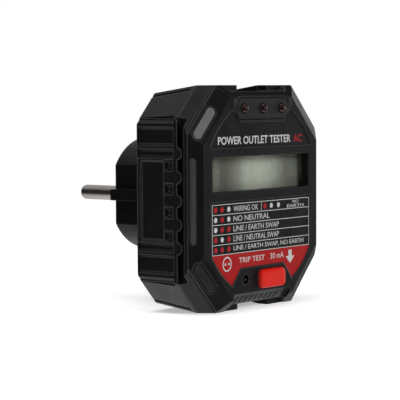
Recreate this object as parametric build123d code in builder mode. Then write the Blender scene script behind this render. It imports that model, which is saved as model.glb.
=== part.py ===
from build123d import *
import os
from math import cos, radians, sin

# Plug-in socket tester with two round earth-clip plug pins.
# Millimetres. X to the right as the user reads the display, +Z up, +Y towards the wall.
# Origin: midway between the pins, on the end face of the plug body (the face that bottoms in a socket).
# Inside the case every place is given as a depth behind the plane of the front rim.

# ---- case ----------------------------------------------------------------
case_half_width = 34.0
case_half_height = 35.3
rear_height_step = 2.4
case_depth = 23.8
cover_depth = 7.9
wall = 2.2
rim_side_setback = 3.9
rim_top_setback = 3.7
rim_bevel_depth = 3.5
corner_angle = 44.0          # direction of a corner face, from X
corner_cut = 7.3             # how far a corner face stands in from the sharp corner
bumper_step = 2.3
corner_bevel = 5.8
rear_corner_step = 0.7
case_edge_radius = 0.7
side_wall = 4.2              # wall with the grip pocket in it
top_wall = 3.9               # wall with the top channel in it
parting_chamfer = 0.35

# ---- notch and channel at the top and bottom ------------------------------
notch_half_width = 15.0
notch_slant = 1.5
notch_depth = 1.9
notch_length = 4.2
channel_half_width = 8.0

notch_rib_x = 14.75
notch_rib_width = 0.9
notch_rib_bottom = 28.4
notch_rib_proud = 0.35
foot_setback = 1.8           # how far above the rim's lower edge the long foot bevel starts
tread_rib_pitch = 2.6
tread_rib_width = 0.9
tread_rib_height = 2.6
tread_rib_drop = 3.0
tread_rib_proud = 0.25
tread_rib_count = 9
tread_rib_x = -0.9

# ---- seams of the corner pads ----------------------------------------------
seam_depth = 0.6
seam_width = 0.9
seam_setback = 1.1
ledge_width = 2.0
seam_front = 9.3

# ---- label fields, display and fronts --------------------------------------
field_margin = 3.4
field_recess = 0.5
label_thickness = 0.25
label_gap = 0.15
upper_field_bottom = 15.9
lower_field_top = -0.7
plate_inner_half_width = 11.5
plate_outer_half_width = 15.5
plate_slant_height = 4.6
led_plate_bottom = 23.6
button_plate_top = -21.8

window_margin = 4.3
window_edge = 0.35
window_height = 10.7
window_z = 7.75
window_depth = 3.3
window_collar = 1.4
lens_margin = 0.8
lens_thickness = 1.0
panel_thickness = 2.4
panel_margin = 1.0
display_frame_wall = 1.2
display_frame_gap = 0.1
backlight_thickness = 1.6
backlight_margin = 2.0
zebra_width = 1.8
zebra_inset = 2.0

# ---- indicator lamps -------------------------------------------------------
led_spacing = 9.95
led_z = 28.0
led_radius = 1.5
led_stick_out = 1.5
led_length = 5.3
led_flange_step = 0.4
led_flange_thickness = 1.0
led_lead = 0.5
led_lead_spacing = 2.54
led_clearance = 0.12
bezel_plate_width = 27.6
bezel_plate_height = 6.9
bezel_plate_corner = 2.0
bezel_plate_edge = 0.35
bezel_plate_proud = 0.2
bezel_plate_thickness = 1.4
bezel_plate_gap = 0.2

# ---- test button and switch ------------------------------------------------
button_x = 4.4
button_z = -26.0
button_width = 13.0
button_height = 6.0
button_corner = 1.6
button_stick_out = 1.5
button_clearance = 0.25
button_travel = 0.8
button_lip = 1.2
button_lip_thickness = 0.9
button_stem_radius = 1.9
touch_gap = 0.02
switch_size = 6.2
switch_height = 2.8
plunger_radius = 1.6
plunger_clearance = 0.06
plunger_stick_out = 1.2

# ---- sounder ---------------------------------------------------------------
port_x = -9.1
port_z = -25.5
port_radius = 1.6
sounder_radius = 4.6
sounder_height = 4.6
sounder_z = -24.6

# ---- corner inserts --------------------------------------------------------
insert_length = 12.4
insert_width = 2.9
insert_point = 0.9
insert_pocket = 1.1
insert_proud = 0.1
insert_gap = 0.3
insert_shift = 2.2           # along the corner, towards the side of the case
bumper_groove = 0.55

# ---- strips on the side bevels ----------------------------------------------
strip_half_height = 13.1
strip_place = 0.68           # where it lies across the side bevel, from the rim
strip_width = 1.7
strip_point = 0.6
strip_pocket = 0.6
strip_proud = 0.25

# ---- grips -----------------------------------------------------------------
grip_end_margin = 10.1
grip_front = 7.6
grip_rear_margin = 0.7
grip_thickness = 1.9
grip_gap = 0.15
grip_pocket_front = 5.0
scallop_pitch = 7.25
scallop_radius = 1.9
ridge_relief = 0.75
panel_half_height = 12.9
panel_relief = 0.45
pocket_relief = 1.1
pocket_bar = 3.6
pocket_front = 8.9
pocket_rear = 12.8
panel_rear = 22.0
ridge_grooves = [(13.0, 15.9), (16.8, 22.6)]
groove_taper = 42.0
ridge_end = 1.4              # sloped end above the last ridge

# ---- boards ----------------------------------------------------------------
board_side_gap = 1.2
board_top_gap = 1.4
board_corner_gap = 3.6
board_thickness = 1.6
display_board_depth = 9.0
power_board_depth = 17.2
power_board_half_width = 20.0
power_board_half_height = 19.0
board_gap = 0.25
chip_size = 9.0
chip_thickness = 1.4
chip_z = 20.5
link_width = 20.0
link_height = 2.4
link_z = -16.5
fuse_x = 0.0
fuse_z = -9.5
fuse_radius = 2.5
fuse_length = 20.0
resistor_x = 8.5
resistor_z = -1.5
resistor_radius = 2.2
resistor_length = 15.0
resistor_pitch = 5.2
capacitor_x = -9.0
capacitor_z = 8.0
capacitor_width = 13.0
capacitor_height = 9.0
capacitor_depth = 6.0
arrester_x = 8.5
arrester_z = 12.5
arrester_radius = 4.6
arrester_thickness = 3.6

# ---- case screws -----------------------------------------------------------
screw_side_margin = 10.6
screw_top_margin = 13.7
screw_radius = 1.4
screw_clearance = 0.06
screw_boss_radius = 2.9
screw_boss_split = 12.0
screw_head_radius = 2.6
screw_head_height = 1.8
screw_head_sunk = 0.5
screw_tip_depth = 4.4
cross_length = 3.0
cross_width = 0.6
cross_depth = 0.9

# ---- plug ------------------------------------------------------------------
boss_radius = 18.4
boss_flat = 15.7
boss_length = 24.6
boss_wall = 2.4
boss_end_wall = 5.0
boss_clearance = 0.2
boss_edge_radius = 1.0
rib_half_height = 1.8
flange_radius = 23.0
flange_thickness = 2.0
flange_screw_radius = 20.7
flange_screw_size = 1.0
flange_screw_angle = 45.0
flange_screw_head_radius = 1.7
flange_screw_head_height = 0.6
pin_spacing = 19.0
pin_radius = 2.4
pin_length = 19.0
pin_relief = 0.2
pin_relief_depth = 0.4
pin_tip_radius = 1.9
pin_shank_radius = 1.9
pin_shank_length = 14.0
clip_width = 5.6
clip_thickness = 0.9
clip_groove_gap = 0.2
clip_groove_depth = 2.2
clip_length = 19.0
clip_lip = 1.8
clip_lip_gap = 0.3
strap_width = 3.0
strap_thickness = 0.8

# ---- sizes that follow from those above ---------------------------------------
front_y = -(case_depth + boss_length)
rear_wall_depth = case_depth - wall
rear_half_height = case_half_height - rear_height_step
rim_half_width = case_half_width - rim_side_setback
rim_half_height = case_half_height - rim_top_setback
notch_floor = case_half_height - notch_depth
foot_half_height = rim_half_height - foot_setback
foot_drop = notch_floor - foot_half_height
corner_x = cos(radians(corner_angle))
corner_z = sin(radians(corner_angle))
case_corner_reach = case_half_width * corner_x + case_half_height * corner_z - corner_cut
bumper_corner_reach = case_corner_reach - bumper_step
rim_corner_reach = bumper_corner_reach - corner_bevel
rear_corner_reach = case_corner_reach - rear_corner_step
field_half_width = rim_half_width - field_margin
field_radius = rim_half_height
window_width = 2 * (rim_half_width - window_margin)
led_flange_radius = led_radius + led_flange_step
grip_half_height = case_half_height - grip_end_margin
board_half_width = case_half_width - side_wall - board_side_gap
board_half_height = case_half_height - top_wall - board_top_gap
board_corner_reach = bumper_corner_reach - wall - board_corner_gap
screw_x = case_half_width - screw_side_margin
screw_z = case_half_height - screw_top_margin

os.makedirs("parts", exist_ok=True)


def depth_plane(depth):
    """A drawing plane at a depth behind the front rim, seen by the user: X right, Z up."""
    return Plane(origin=(0, front_y + depth, 0), x_dir=(1, 0, 0), z_dir=(0, -1, 0))


def octagon_points(half_width, half_height, corner_reach):
    """The eight corners of a case section, in order round it."""
    top_x = (corner_reach - half_height * corner_z) / corner_x
    side_z = (corner_reach - half_width * corner_x) / corner_z
    right = [(half_width, -side_z), (half_width, side_z), (top_x, half_height)]
    left = [(-top_x, half_height), (-half_width, side_z), (-half_width, -side_z)]
    return right + left + [(-top_x, -half_height), (top_x, -half_height)]


def filled(points, mode=Mode.ADD):
    """Add a filled polygon to the sketch in hand."""
    Polygon(*points, align=None, mode=mode)


def octagon(half_width, half_height, corner_reach, mode=Mode.ADD):
    """Add a filled case section to the sketch in hand."""
    filled(octagon_points(half_width, half_height, corner_reach), mode)


def save(part, name):
    """Label a finished piece and write its STEP file."""
    part.label = name
    export_step(part, "parts/" + name + ".step")


def case_depth_edges(part, low, high):
    """Edges that run front to back between two depths, at the outer corners of the case."""
    found = []
    for edge in part.edges():
        ends = [v.Y - front_y for v in edge.vertices()]
        if len(ends) == 2 and min(ends) < low + 0.01 and max(ends) > high - 0.01:
            found.append(edge)
    return ShapeList(found)


def plate_outline(inner_z, away, extra=0.0):
    """Outline of a rim-level plate between a label field and the rim; away is +1 up, -1 down."""
    inner = plate_inner_half_width + extra
    outer = plate_outer_half_width + extra
    edge_z = inner_z - away * extra
    slant_z = edge_z + away * plate_slant_height
    far_z = away * (case_half_height + 1)
    return [(-inner, edge_z), (inner, edge_z), (outer, slant_z), (outer, far_z), (-outer, far_z), (-outer, slant_z)]


def label_field(bottom, top, plate_z, away, shrink):
    """Add one label field: a slice of a disc, less the plate that stands into it."""
    half = field_half_width - shrink
    Circle(field_radius - shrink)
    with Locations((0, (top + bottom) / 2)):
        Rectangle(2 * half, top - bottom - 2 * shrink, mode=Mode.INTERSECT)
    filled(plate_outline(plate_z, away, shrink), Mode.SUBTRACT)


def cut_corner_plate(grow):
    """Add the outline of the lamp plate: a rectangle with cut corners, grown all round."""
    half_x = bezel_plate_width / 2 + grow
    half_z = bezel_plate_height / 2 + grow
    cut = bezel_plate_corner
    right = [(half_x, -half_z + cut), (half_x, half_z - cut), (half_x - cut, half_z)]
    left = [(cut - half_x, half_z), (-half_x, half_z - cut), (-half_x, cut - half_z)]
    filled(right + left + [(cut - half_x, -half_z), (half_x - cut, -half_z)])


def plug_outline(grow=0.0):
    """Add the section of the plug body: a disc with two flats, and a guide rib on each flat."""
    Circle(boss_radius + grow)
    Rectangle(2 * (boss_flat + grow), 3 * boss_radius, mode=Mode.INTERSECT)
    Rectangle(2 * (boss_radius + grow), 2 * (rib_half_height + grow))


screw_places = [(x, z) for x in (-screw_x, screw_x) for z in (-screw_z, screw_z)]
corner_signs = [(-1, 1), (1, 1), (-1, -1), (1, -1)]
corner_names = ["top_left", "top_right", "bottom_left", "bottom_right"]


def corner_plane(sign_x, sign_z):
    """Plane of a front corner bevel: origin at its middle, x_dir along the corner, normal outwards."""
    reach = Vector(sign_x * corner_x, 0, sign_z * corner_z)
    slope = bumper_corner_reach - rim_corner_reach
    outward = reach * rim_bevel_depth - Vector(0, slope, 0)
    middle = reach * ((rim_corner_reach + bumper_corner_reach) / 2) + Vector(0, front_y + rim_bevel_depth / 2, 0)
    along = Vector(0, 1, 0).cross(reach)
    shifted = middle + along * (sign_x * sign_z * insert_shift)
    return Plane(origin=shifted, x_dir=along, z_dir=outward)


def side_bevel_plane(side):
    """Plane of a side bevel of the front: origin where its strip lies, X up the side, normal outwards."""
    strip_x = side * (rim_half_width + strip_place * rim_side_setback)
    outward = (side * rim_bevel_depth, -rim_side_setback, 0)
    return Plane(origin=(strip_x, front_y + strip_place * rim_bevel_depth, 0), x_dir=(0, 0, 1), z_dir=outward)


def foot_bevel_plane():
    """Plane of the long foot bevel below the button: origin on its rim edge, X to the right, normal outwards."""
    outward = (0, -foot_drop, -rim_bevel_depth)
    return Plane(origin=(0, front_y, -foot_half_height), x_dir=(1, 0, 0), z_dir=outward)


def pointed_bar(length, width, point):
    """Add a bar along X whose ends are cut to blunt points."""
    half = length / 2
    inner = half - point
    right = [(inner, -width / 2), (half, -width / 6), (half, width / 6), (inner, width / 2)]
    left = [(-inner, width / 2), (-half, width / 6), (-half, -width / 6), (-inner, -width / 2)]
    filled(right + left)


def pad_point(sign_x, sign_z, depth, from_top, from_side):
    """A point on a rear corner face, a distance from its top edge or, failing that, its side edge."""
    share = (depth - cover_depth) / (case_depth - cover_depth)
    corner_reach = case_corner_reach - share * rear_corner_step
    half_height = case_half_height - share * rear_height_step
    if from_top is None:
        edge_x, edge_z = case_half_width, (corner_reach - case_half_width * corner_x) / corner_z
        step = from_side
    else:
        edge_x, edge_z = (corner_reach - half_height * corner_z) / corner_x, half_height
        step = -from_top
    return Vector(
        sign_x * (edge_x - step * corner_z),
        front_y + depth,
        sign_z * (edge_z + step * corner_x),
    )


def pad_plane(sign_x, sign_z):
    """Plane of a rear corner face, normal outwards."""
    reach = Vector(sign_x * corner_x, 0, sign_z * corner_z)
    slope = rear_corner_step / (case_depth - cover_depth)
    middle = reach * case_corner_reach + Vector(0, front_y + cover_depth, 0)
    return Plane(origin=middle, x_dir=Vector(0, 1, 0).cross(reach), z_dir=reach + Vector(0, slope, 0))


# ---- front cover -------------------------------------------------------------
with BuildPart() as front_cover:
    with BuildSketch(depth_plane(0)):
        octagon(rim_half_width, rim_half_height, rim_corner_reach)
    with BuildSketch(depth_plane(rim_bevel_depth)):
        octagon(case_half_width, case_half_height, bumper_corner_reach)
    loft()
    with BuildSketch(depth_plane(rim_bevel_depth)):
        octagon(case_half_width, case_half_height, bumper_corner_reach)
    with BuildSketch(depth_plane(cover_depth)):
        octagon(case_half_width, case_half_height, case_corner_reach)
    loft()
    fillet(case_depth_edges(front_cover.part, rim_bevel_depth, cover_depth), case_edge_radius)
    rim_edges = front_cover.faces().sort_by(Axis.Y)[0].edges()
    fillet(rim_edges, case_edge_radius)
    # hollow, open at the back
    with BuildSketch(depth_plane(wall)):
        octagon(rim_half_width - wall, rim_half_height - wall, rim_corner_reach - wall)
    with BuildSketch(depth_plane(wall + rim_bevel_depth)):
        octagon(case_half_width - side_wall, case_half_height - top_wall, bumper_corner_reach - wall)
    loft(mode=Mode.SUBTRACT)
    with BuildSketch(depth_plane(wall + rim_bevel_depth)):
        octagon(case_half_width - side_wall, case_half_height - top_wall, bumper_corner_reach - wall)
    extrude(amount=-(cover_depth - wall - rim_bevel_depth), mode=Mode.SUBTRACT)
    # notch at the middle of the top and bottom rim, with slanted ends, then the channel behind it
    for up in (1, -1):
        floor_z = up * notch_floor
        over_z = up * (case_half_height + 1)
        spread = notch_half_width + notch_slant * (notch_depth + 1) / notch_depth
        with BuildSketch(depth_plane(-1)):
            filled([(-notch_half_width, floor_z), (notch_half_width, floor_z), (spread, over_z), (-spread, over_z)])
        extrude(amount=-(notch_length + 1), mode=Mode.SUBTRACT)
        with BuildSketch(depth_plane(notch_length)):
            with Locations((0, (floor_z + over_z) / 2)):
                Rectangle(2 * channel_half_width, abs(over_z - floor_z))
        extrude(amount=-(cover_depth - notch_length), mode=Mode.SUBTRACT)
    # long foot bevel across the bottom notch
    with BuildSketch(Plane.YZ.offset(-notch_half_width)):
        filled([
            (front_y - rim_bevel_depth, -foot_half_height + foot_drop),
            (front_y - rim_bevel_depth, -case_half_height),
            (front_y + rim_bevel_depth, -case_half_height),
            (front_y + rim_bevel_depth, -foot_half_height - foot_drop),
        ])
    extrude(amount=2 * notch_half_width, mode=Mode.SUBTRACT)
    # pockets in the side walls that take the front edge of the grips
    for side in (-1, 1):
        with BuildSketch(depth_plane(grip_pocket_front)):
            with Locations((side * case_half_width, 0)):
                Rectangle(2 * (grip_thickness + grip_gap), 2 * (grip_half_height + grip_gap))
        extrude(amount=-cover_depth, mode=Mode.SUBTRACT)
    # screw bosses
    with BuildSketch(depth_plane(wall - 0.4)):
        with Locations(*screw_places):
            Circle(screw_boss_radius)
    extrude(amount=-(screw_boss_split - wall + 0.4))
    with BuildSketch(depth_plane(screw_boss_split)):
        with Locations(*screw_places):
            Circle(screw_radius + screw_clearance)
    extrude(amount=screw_boss_split - screw_tip_depth + 1, mode=Mode.SUBTRACT)
    # collar and opening of the display window
    with BuildSketch(depth_plane(wall - 0.2)):
        with Locations((0, window_z)):
            Rectangle(window_width + 2 * window_collar, window_height + 2 * window_collar)
    extrude(amount=-(window_depth - wall + 0.2))
    with BuildSketch(depth_plane(0)):
        with Locations((0, window_z)):
            RectangleRounded(window_width, window_height, 0.8)
    extrude(amount=-window_depth, mode=Mode.SUBTRACT)
    window_rim = front_cover.faces().filter_by(GeomType.PLANE).sort_by(Axis.Y)[0].inner_wires().edges()
    fillet(window_rim, window_edge)
    # sunk fields for the printed labels
    with BuildSketch(depth_plane(0)):
        label_field(upper_field_bottom, field_radius, led_plate_bottom, 1, 0)
    extrude(amount=-field_recess, mode=Mode.SUBTRACT)
    with BuildSketch(depth_plane(0)):
        label_field(-field_radius, lower_field_top, button_plate_top, -1, 0)
    extrude(amount=-field_recess, mode=Mode.SUBTRACT)
    # seat of the lamp plate and the lamp holes
    with BuildSketch(depth_plane(0)):
        with Locations((0, led_z)):
            cut_corner_plate(bezel_plate_gap)
    extrude(amount=-(bezel_plate_thickness - bezel_plate_proud), mode=Mode.SUBTRACT)
    with BuildSketch(depth_plane(0)):
        with Locations((0, led_z)):
            with GridLocations(led_spacing, 0, 3, 1):
                Circle(led_flange_radius + led_clearance)
    extrude(amount=-(led_length - led_stick_out + led_clearance), mode=Mode.SUBTRACT)
    # button opening and sounder port
    with BuildSketch(depth_plane(0)):
        with Locations((button_x, button_z)):
            RectangleRounded(
                button_width + 2 * button_clearance,
                button_height + 2 * button_clearance,
                button_corner + button_clearance,
            )
        with Locations((port_x, port_z)):
            Circle(port_radius)
    extrude(amount=-(wall + 1), mode=Mode.SUBTRACT)
    # pockets of the corner inserts
    for sign_x, sign_z in corner_signs:
        with BuildSketch(corner_plane(sign_x, sign_z)):
            pointed_bar(insert_length + 2 * insert_gap, insert_width + 2 * insert_gap, insert_point)
        extrude(amount=-insert_pocket, mode=Mode.SUBTRACT)
    # groove that sets the bumper at each corner off from the bevel
    with BuildSketch(depth_plane(rim_bevel_depth - bumper_groove / 2)):
        octagon(case_half_width + 1, case_half_height + 1, case_corner_reach + 3)
        octagon(case_half_width + 2, case_half_height + 2, bumper_corner_reach - bumper_groove, Mode.SUBTRACT)
    extrude(amount=-bumper_groove, mode=Mode.SUBTRACT)
    # pockets of the side strips
    for side in (-1, 1):
        with BuildSketch(side_bevel_plane(side)):
            pointed_bar(2 * strip_half_height, strip_width, strip_point)
        extrude(amount=-strip_pocket, mode=Mode.SUBTRACT)
    # short rib at each end of the top notch, and a row of tread ribs on the bottom bevel
    with BuildSketch(depth_plane(notch_rib_proud)):
        with Locations((0, (notch_rib_bottom + rim_half_height - case_edge_radius) / 2)):
            with GridLocations(2 * notch_rib_x, 0, 2, 1):
                RectangleRounded(notch_rib_width, rim_half_height - case_edge_radius - notch_rib_bottom, 0.4)
    extrude(amount=2 * notch_rib_proud)
    with BuildSketch(foot_bevel_plane()):
        with Locations((tread_rib_x, -tread_rib_drop)):
            with GridLocations(tread_rib_pitch, 0, tread_rib_count, 1):
                Rectangle(tread_rib_width, tread_rib_height)
    extrude(amount=tread_rib_proud)
save(front_cover.part, "front_cover")

# ---- rear housing ---------------------------------------------------------------
with BuildPart() as rear_housing:
    with BuildSketch(depth_plane(cover_depth)):
        octagon(case_half_width, case_half_height, case_corner_reach)
    with BuildSketch(depth_plane(case_depth)):
        octagon(case_half_width, rear_half_height, rear_corner_reach)
    loft()
    rear_edges = rear_housing.faces().sort_by(Axis.Y)[-1].edges()
    fillet(case_depth_edges(rear_housing.part, cover_depth, case_depth) + rear_edges, case_edge_radius)
    chamfer(rear_housing.faces().sort_by(Axis.Y)[0].edges(), parting_chamfer)
    with BuildSketch(depth_plane(cover_depth)):
        octagon(case_half_width - side_wall, case_half_height - top_wall, case_corner_reach - 2 * wall)
    with BuildSketch(depth_plane(rear_wall_depth)):
        octagon(case_half_width - side_wall, rear_half_height - top_wall, rear_corner_reach - 2 * wall)
    loft(mode=Mode.SUBTRACT)
    # channel along the middle of the top and bottom
    for up in (1, -1):
        with BuildSketch(Plane.YZ.offset(-channel_half_width)):
            filled([
                (front_y + cover_depth - 1, up * (case_half_height - notch_depth)),
                (front_y + cover_depth - 1, up * (case_half_height + 1)),
                (front_y + case_depth + 1, up * (case_half_height + 1)),
                (front_y + case_depth + 1, up * (rear_half_height - notch_depth)),
            ])
        extrude(amount=2 * channel_half_width, mode=Mode.SUBTRACT)
    # corner pads: a seam below the top edge and a ledge above the grip
    for sign_x, sign_z in corner_signs:
        pad = pad_plane(sign_x, sign_z)
        for near, far, from_top in ((seam_setback, seam_setback + seam_width, True), (-1, ledge_width, False)):
            corners = []
            for depth, step in ((seam_front, near), (case_depth + 1, near), (case_depth + 1, far), (seam_front, far)):
                place = (step, None) if from_top else (None, step)
                corners.append(pad.to_local_coords(pad_point(sign_x, sign_z, depth, *place)))
            with BuildSketch(pad):
                filled([(corner.X, corner.Y) for corner in corners])
            extrude(amount=-seam_depth, mode=Mode.SUBTRACT)
    # pockets that take the grips
    for side in (-1, 1):
        with BuildSketch(depth_plane(cover_depth - 1)):
            with Locations((side * case_half_width, 0)):
                Rectangle(2 * (grip_thickness + grip_gap), 2 * (grip_half_height + grip_gap))
        extrude(amount=-(case_depth - grip_rear_margin + grip_gap - cover_depth + 1), mode=Mode.SUBTRACT)
    # opening for the plug body
    with BuildSketch(depth_plane(case_depth)):
        plug_outline(boss_clearance)
    extrude(amount=wall + 1, mode=Mode.SUBTRACT)
    # screw bosses with sunk heads
    with BuildSketch(depth_plane(screw_boss_split)):
        with Locations(*screw_places):
            Circle(screw_boss_radius)
    extrude(amount=-(case_depth - wall - screw_boss_split + 0.2))
    with BuildSketch(depth_plane(screw_boss_split)):
        with Locations(*screw_places):
            Circle(screw_radius + screw_clearance)
    extrude(amount=-case_depth, mode=Mode.SUBTRACT)
    with BuildSketch(depth_plane(case_depth)):
        with Locations(*screw_places):
            Circle(screw_head_radius + 2 * screw_clearance)
    extrude(amount=screw_head_height + screw_head_sunk, mode=Mode.SUBTRACT)
    # blind holes for the screws of the plug flange
    with BuildSketch(depth_plane(rear_wall_depth)):
        with PolarLocations(flange_screw_radius, 4, start_angle=flange_screw_angle):
            Circle(flange_screw_size + screw_clearance)
    extrude(amount=-(wall - 0.6), mode=Mode.SUBTRACT)
save(rear_housing.part, "rear_housing")

# ---- side grips -----------------------------------------------------------------
for side, grip_name in ((-1, "side_grip_left"), (1, "side_grip_right")):
    grip_face = Plane(origin=(side * case_half_width, front_y, 0), x_dir=(0, 1, 0), z_dir=(side, 0, 0))
    grip_rear = case_depth - grip_rear_margin
    pocket_height = scallop_pitch - pocket_bar
    with BuildPart() as side_grip:
        with BuildSketch(grip_face):
            with Locations(((grip_front + grip_rear) / 2, 0)):
                RectangleRounded(grip_rear - grip_front, 2 * grip_half_height, 0.8)
            with Locations((grip_front, 0)):
                with GridLocations(0, scallop_pitch, 1, 5):
                    Circle(scallop_radius)
        extrude(amount=-grip_thickness)
        # the two grooves between the ridges, above and below the middle
        for up in (1, -1):
            for low, high in ridge_grooves + [(grip_half_height - ridge_end, grip_half_height + ridge_end)]:
                with BuildSketch(grip_face):
                    with Locations(((pocket_front + case_depth) / 2, up * (low + high) / 2)):
                        Rectangle(case_depth - pocket_front, high - low)
                extrude(amount=-ridge_relief, taper=groove_taper, mode=Mode.SUBTRACT)
        # sunk panel, and the column of pockets in front of it
        with BuildSketch(grip_face):
            with Locations(((pocket_rear + panel_rear) / 2, 0)):
                RectangleRounded(panel_rear - pocket_rear, 2 * panel_half_height - 1.2, 0.6)
        extrude(amount=-panel_relief, taper=groove_taper, mode=Mode.SUBTRACT)
        with BuildSketch(grip_face):
            with Locations(((pocket_front + pocket_rear) / 2, 0)):
                with GridLocations(0, scallop_pitch, 1, 4):
                    Rectangle(pocket_rear - pocket_front - 0.5, pocket_height)
        extrude(amount=-pocket_relief, taper=groove_taper, mode=Mode.SUBTRACT)
    save(side_grip.part, grip_name)

# ---- corner inserts ---------------------------------------------------------------
for (sign_x, sign_z), corner in zip(corner_signs, corner_names):
    bevel = corner_plane(sign_x, sign_z)
    with BuildPart() as corner_insert:
        with BuildSketch(bevel.offset(-insert_pocket)):
            pointed_bar(insert_length, insert_width, insert_point)
        extrude(amount=insert_pocket + insert_proud)
        fillet(corner_insert.faces().sort_by(Axis(bevel.origin, bevel.z_dir))[-1].edges(), 0.25)
    save(corner_insert.part, "corner_insert_" + corner)

# ---- side strips --------------------------------------------------------------------
for side, strip_name in ((-1, "side_strip_left"), (1, "side_strip_right")):
    bevel = side_bevel_plane(side)
    with BuildPart() as side_strip:
        with BuildSketch(bevel.offset(-strip_pocket)):
            pointed_bar(2 * strip_half_height, strip_width, strip_point)
        extrude(amount=strip_pocket + strip_proud)
        fillet(side_strip.faces().sort_by(Axis(bevel.origin, bevel.z_dir))[-1].edges(), 0.2)
    save(side_strip.part, strip_name)

# ---- printed labels -----------------------------------------------------------------
with BuildPart() as label_upper:
    with BuildSketch(depth_plane(field_recess)):
        label_field(upper_field_bottom, field_radius, led_plate_bottom, 1, label_gap)
    extrude(amount=label_thickness)
save(label_upper.part, "label_upper")

with BuildPart() as label_lower:
    with BuildSketch(depth_plane(field_recess)):
        label_field(-field_radius, lower_field_top, button_plate_top, -1, label_gap)
    extrude(amount=label_thickness)
save(label_lower.part, "label_lower")

# ---- display --------------------------------------------------------------------------
panel_width = window_width + 2 * panel_margin
panel_height = window_height + 2 * panel_margin
panel_back = window_depth + lens_thickness + panel_thickness

with BuildPart() as display_window:
    with BuildSketch(depth_plane(window_depth)):
        with Locations((0, window_z)):
            Rectangle(window_width + 2 * lens_margin, window_height + 2 * lens_margin)
    extrude(amount=-lens_thickness)
save(display_window.part, "display_window")

with BuildPart() as lcd_panel:
    with BuildSketch(depth_plane(window_depth + lens_thickness)):
        with Locations((0, window_z)):
            Rectangle(panel_width, panel_height)
    extrude(amount=-panel_thickness)
save(lcd_panel.part, "lcd_panel")

with BuildPart() as display_frame:
    with BuildSketch(depth_plane(window_depth)):
        with Locations((0, window_z)):
            RectangleRounded(
                panel_width + 2 * (display_frame_gap + display_frame_wall),
                panel_height + 2 * (display_frame_gap + display_frame_wall),
                1.0,
            )
            Rectangle(
                panel_width + 2 * display_frame_gap,
                panel_height + 2 * display_frame_gap,
                mode=Mode.SUBTRACT,
            )
    extrude(amount=-(display_board_depth - window_depth))
save(display_frame.part, "display_frame")

with BuildPart() as backlight:
    with BuildSketch(depth_plane(panel_back)):
        with Locations((0, window_z)):
            Rectangle(window_width - 2 * backlight_margin, panel_height - 2 * (zebra_width + display_frame_gap))
    extrude(amount=-backlight_thickness)
save(backlight.part, "backlight")

for up, strip_name in ((1, "contact_strip_top"), (-1, "contact_strip_bottom")):
    with BuildPart() as contact_strip:
        with BuildSketch(depth_plane(panel_back)):
            with Locations((0, window_z + up * (panel_height - zebra_width) / 2)):
                Rectangle(window_width - 2 * zebra_inset, zebra_width)
        extrude(amount=-(display_board_depth - panel_back))
    save(contact_strip.part, strip_name)

# ---- indicator lamps ----------------------------------------------------------------------
with BuildPart() as lamp_plate:
    with BuildSketch(depth_plane(bezel_plate_thickness - bezel_plate_proud)):
        with Locations((0, led_z)):
            cut_corner_plate(0)
    extrude(amount=bezel_plate_thickness)
    chamfer(lamp_plate.faces().sort_by(Axis.Y)[0].edges(), bezel_plate_edge)
    with BuildSketch(depth_plane(-bezel_plate_proud)):
        with Locations((0, led_z)):
            with GridLocations(led_spacing, 0, 3, 1):
                Circle(led_radius + led_clearance)
    extrude(amount=-bezel_plate_thickness, mode=Mode.SUBTRACT)
save(lamp_plate.part, "lamp_plate")

for column, lamp_name in ((-1, "lamp_left"), (0, "lamp_middle"), (1, "lamp_right")):
    lamp_x = column * led_spacing
    with BuildPart() as lamp:
        with BuildSketch(depth_plane(led_length - led_stick_out)):
            with Locations((lamp_x, led_z)):
                Circle(led_radius)
        extrude(amount=led_length)
        fillet(lamp.faces().sort_by(Axis.Y)[0].edges(), 0.96 * led_radius)
        with BuildSketch(depth_plane(led_length - led_stick_out)):
            with Locations((lamp_x, led_z)):
                Circle(led_flange_radius)
        extrude(amount=led_flange_thickness)
        with BuildSketch(depth_plane(led_length - led_stick_out)):
            with Locations((lamp_x, led_z)):
                with GridLocations(led_lead_spacing, 0, 2, 1):
                    Rectangle(led_lead, led_lead)
        extrude(amount=-(display_board_depth + board_thickness - led_length + led_stick_out))
    save(lamp.part, lamp_name)

# ---- test button and its switch ---------------------------------------------------------------
lip_depth = wall + touch_gap
plunger_depth = display_board_depth - switch_height - plunger_stick_out

with BuildPart() as test_button:
    with BuildSketch(depth_plane(lip_depth)):
        with Locations((button_x, button_z)):
            RectangleRounded(button_width, button_height, button_corner)
    extrude(amount=lip_depth + button_stick_out)
    fillet(test_button.faces().sort_by(Axis.Y)[0].edges(), 0.8)
    with BuildSketch(depth_plane(lip_depth)):
        with Locations((button_x, button_z)):
            Rectangle(button_width + 2 * button_lip, button_height - 1.0)
    extrude(amount=-button_lip_thickness)
    with BuildSketch(depth_plane(lip_depth)):
        with Locations((button_x, button_z)):
            Circle(button_stem_radius)
    extrude(amount=-(plunger_depth - touch_gap - lip_depth))
save(test_button.part, "test_button")

with BuildPart() as switch_plunger:
    with BuildSketch(depth_plane(plunger_depth)):
        with Locations((button_x, button_z)):
            Circle(plunger_radius)
    extrude(amount=-(plunger_stick_out + 1.0))
save(switch_plunger.part, "switch_plunger")

with BuildPart() as switch_body:
    with BuildSketch(depth_plane(display_board_depth - switch_height)):
        with Locations((button_x, button_z)):
            RectangleRounded(switch_size, switch_size, 0.6)
    extrude(amount=-switch_height)
    with BuildSketch(depth_plane(display_board_depth - switch_height)):
        with Locations((button_x, button_z)):
            Circle(plunger_radius + plunger_clearance)
    extrude(amount=-(1.0 + button_travel + plunger_clearance), mode=Mode.SUBTRACT)
save(switch_body.part, "switch_body")

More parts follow.
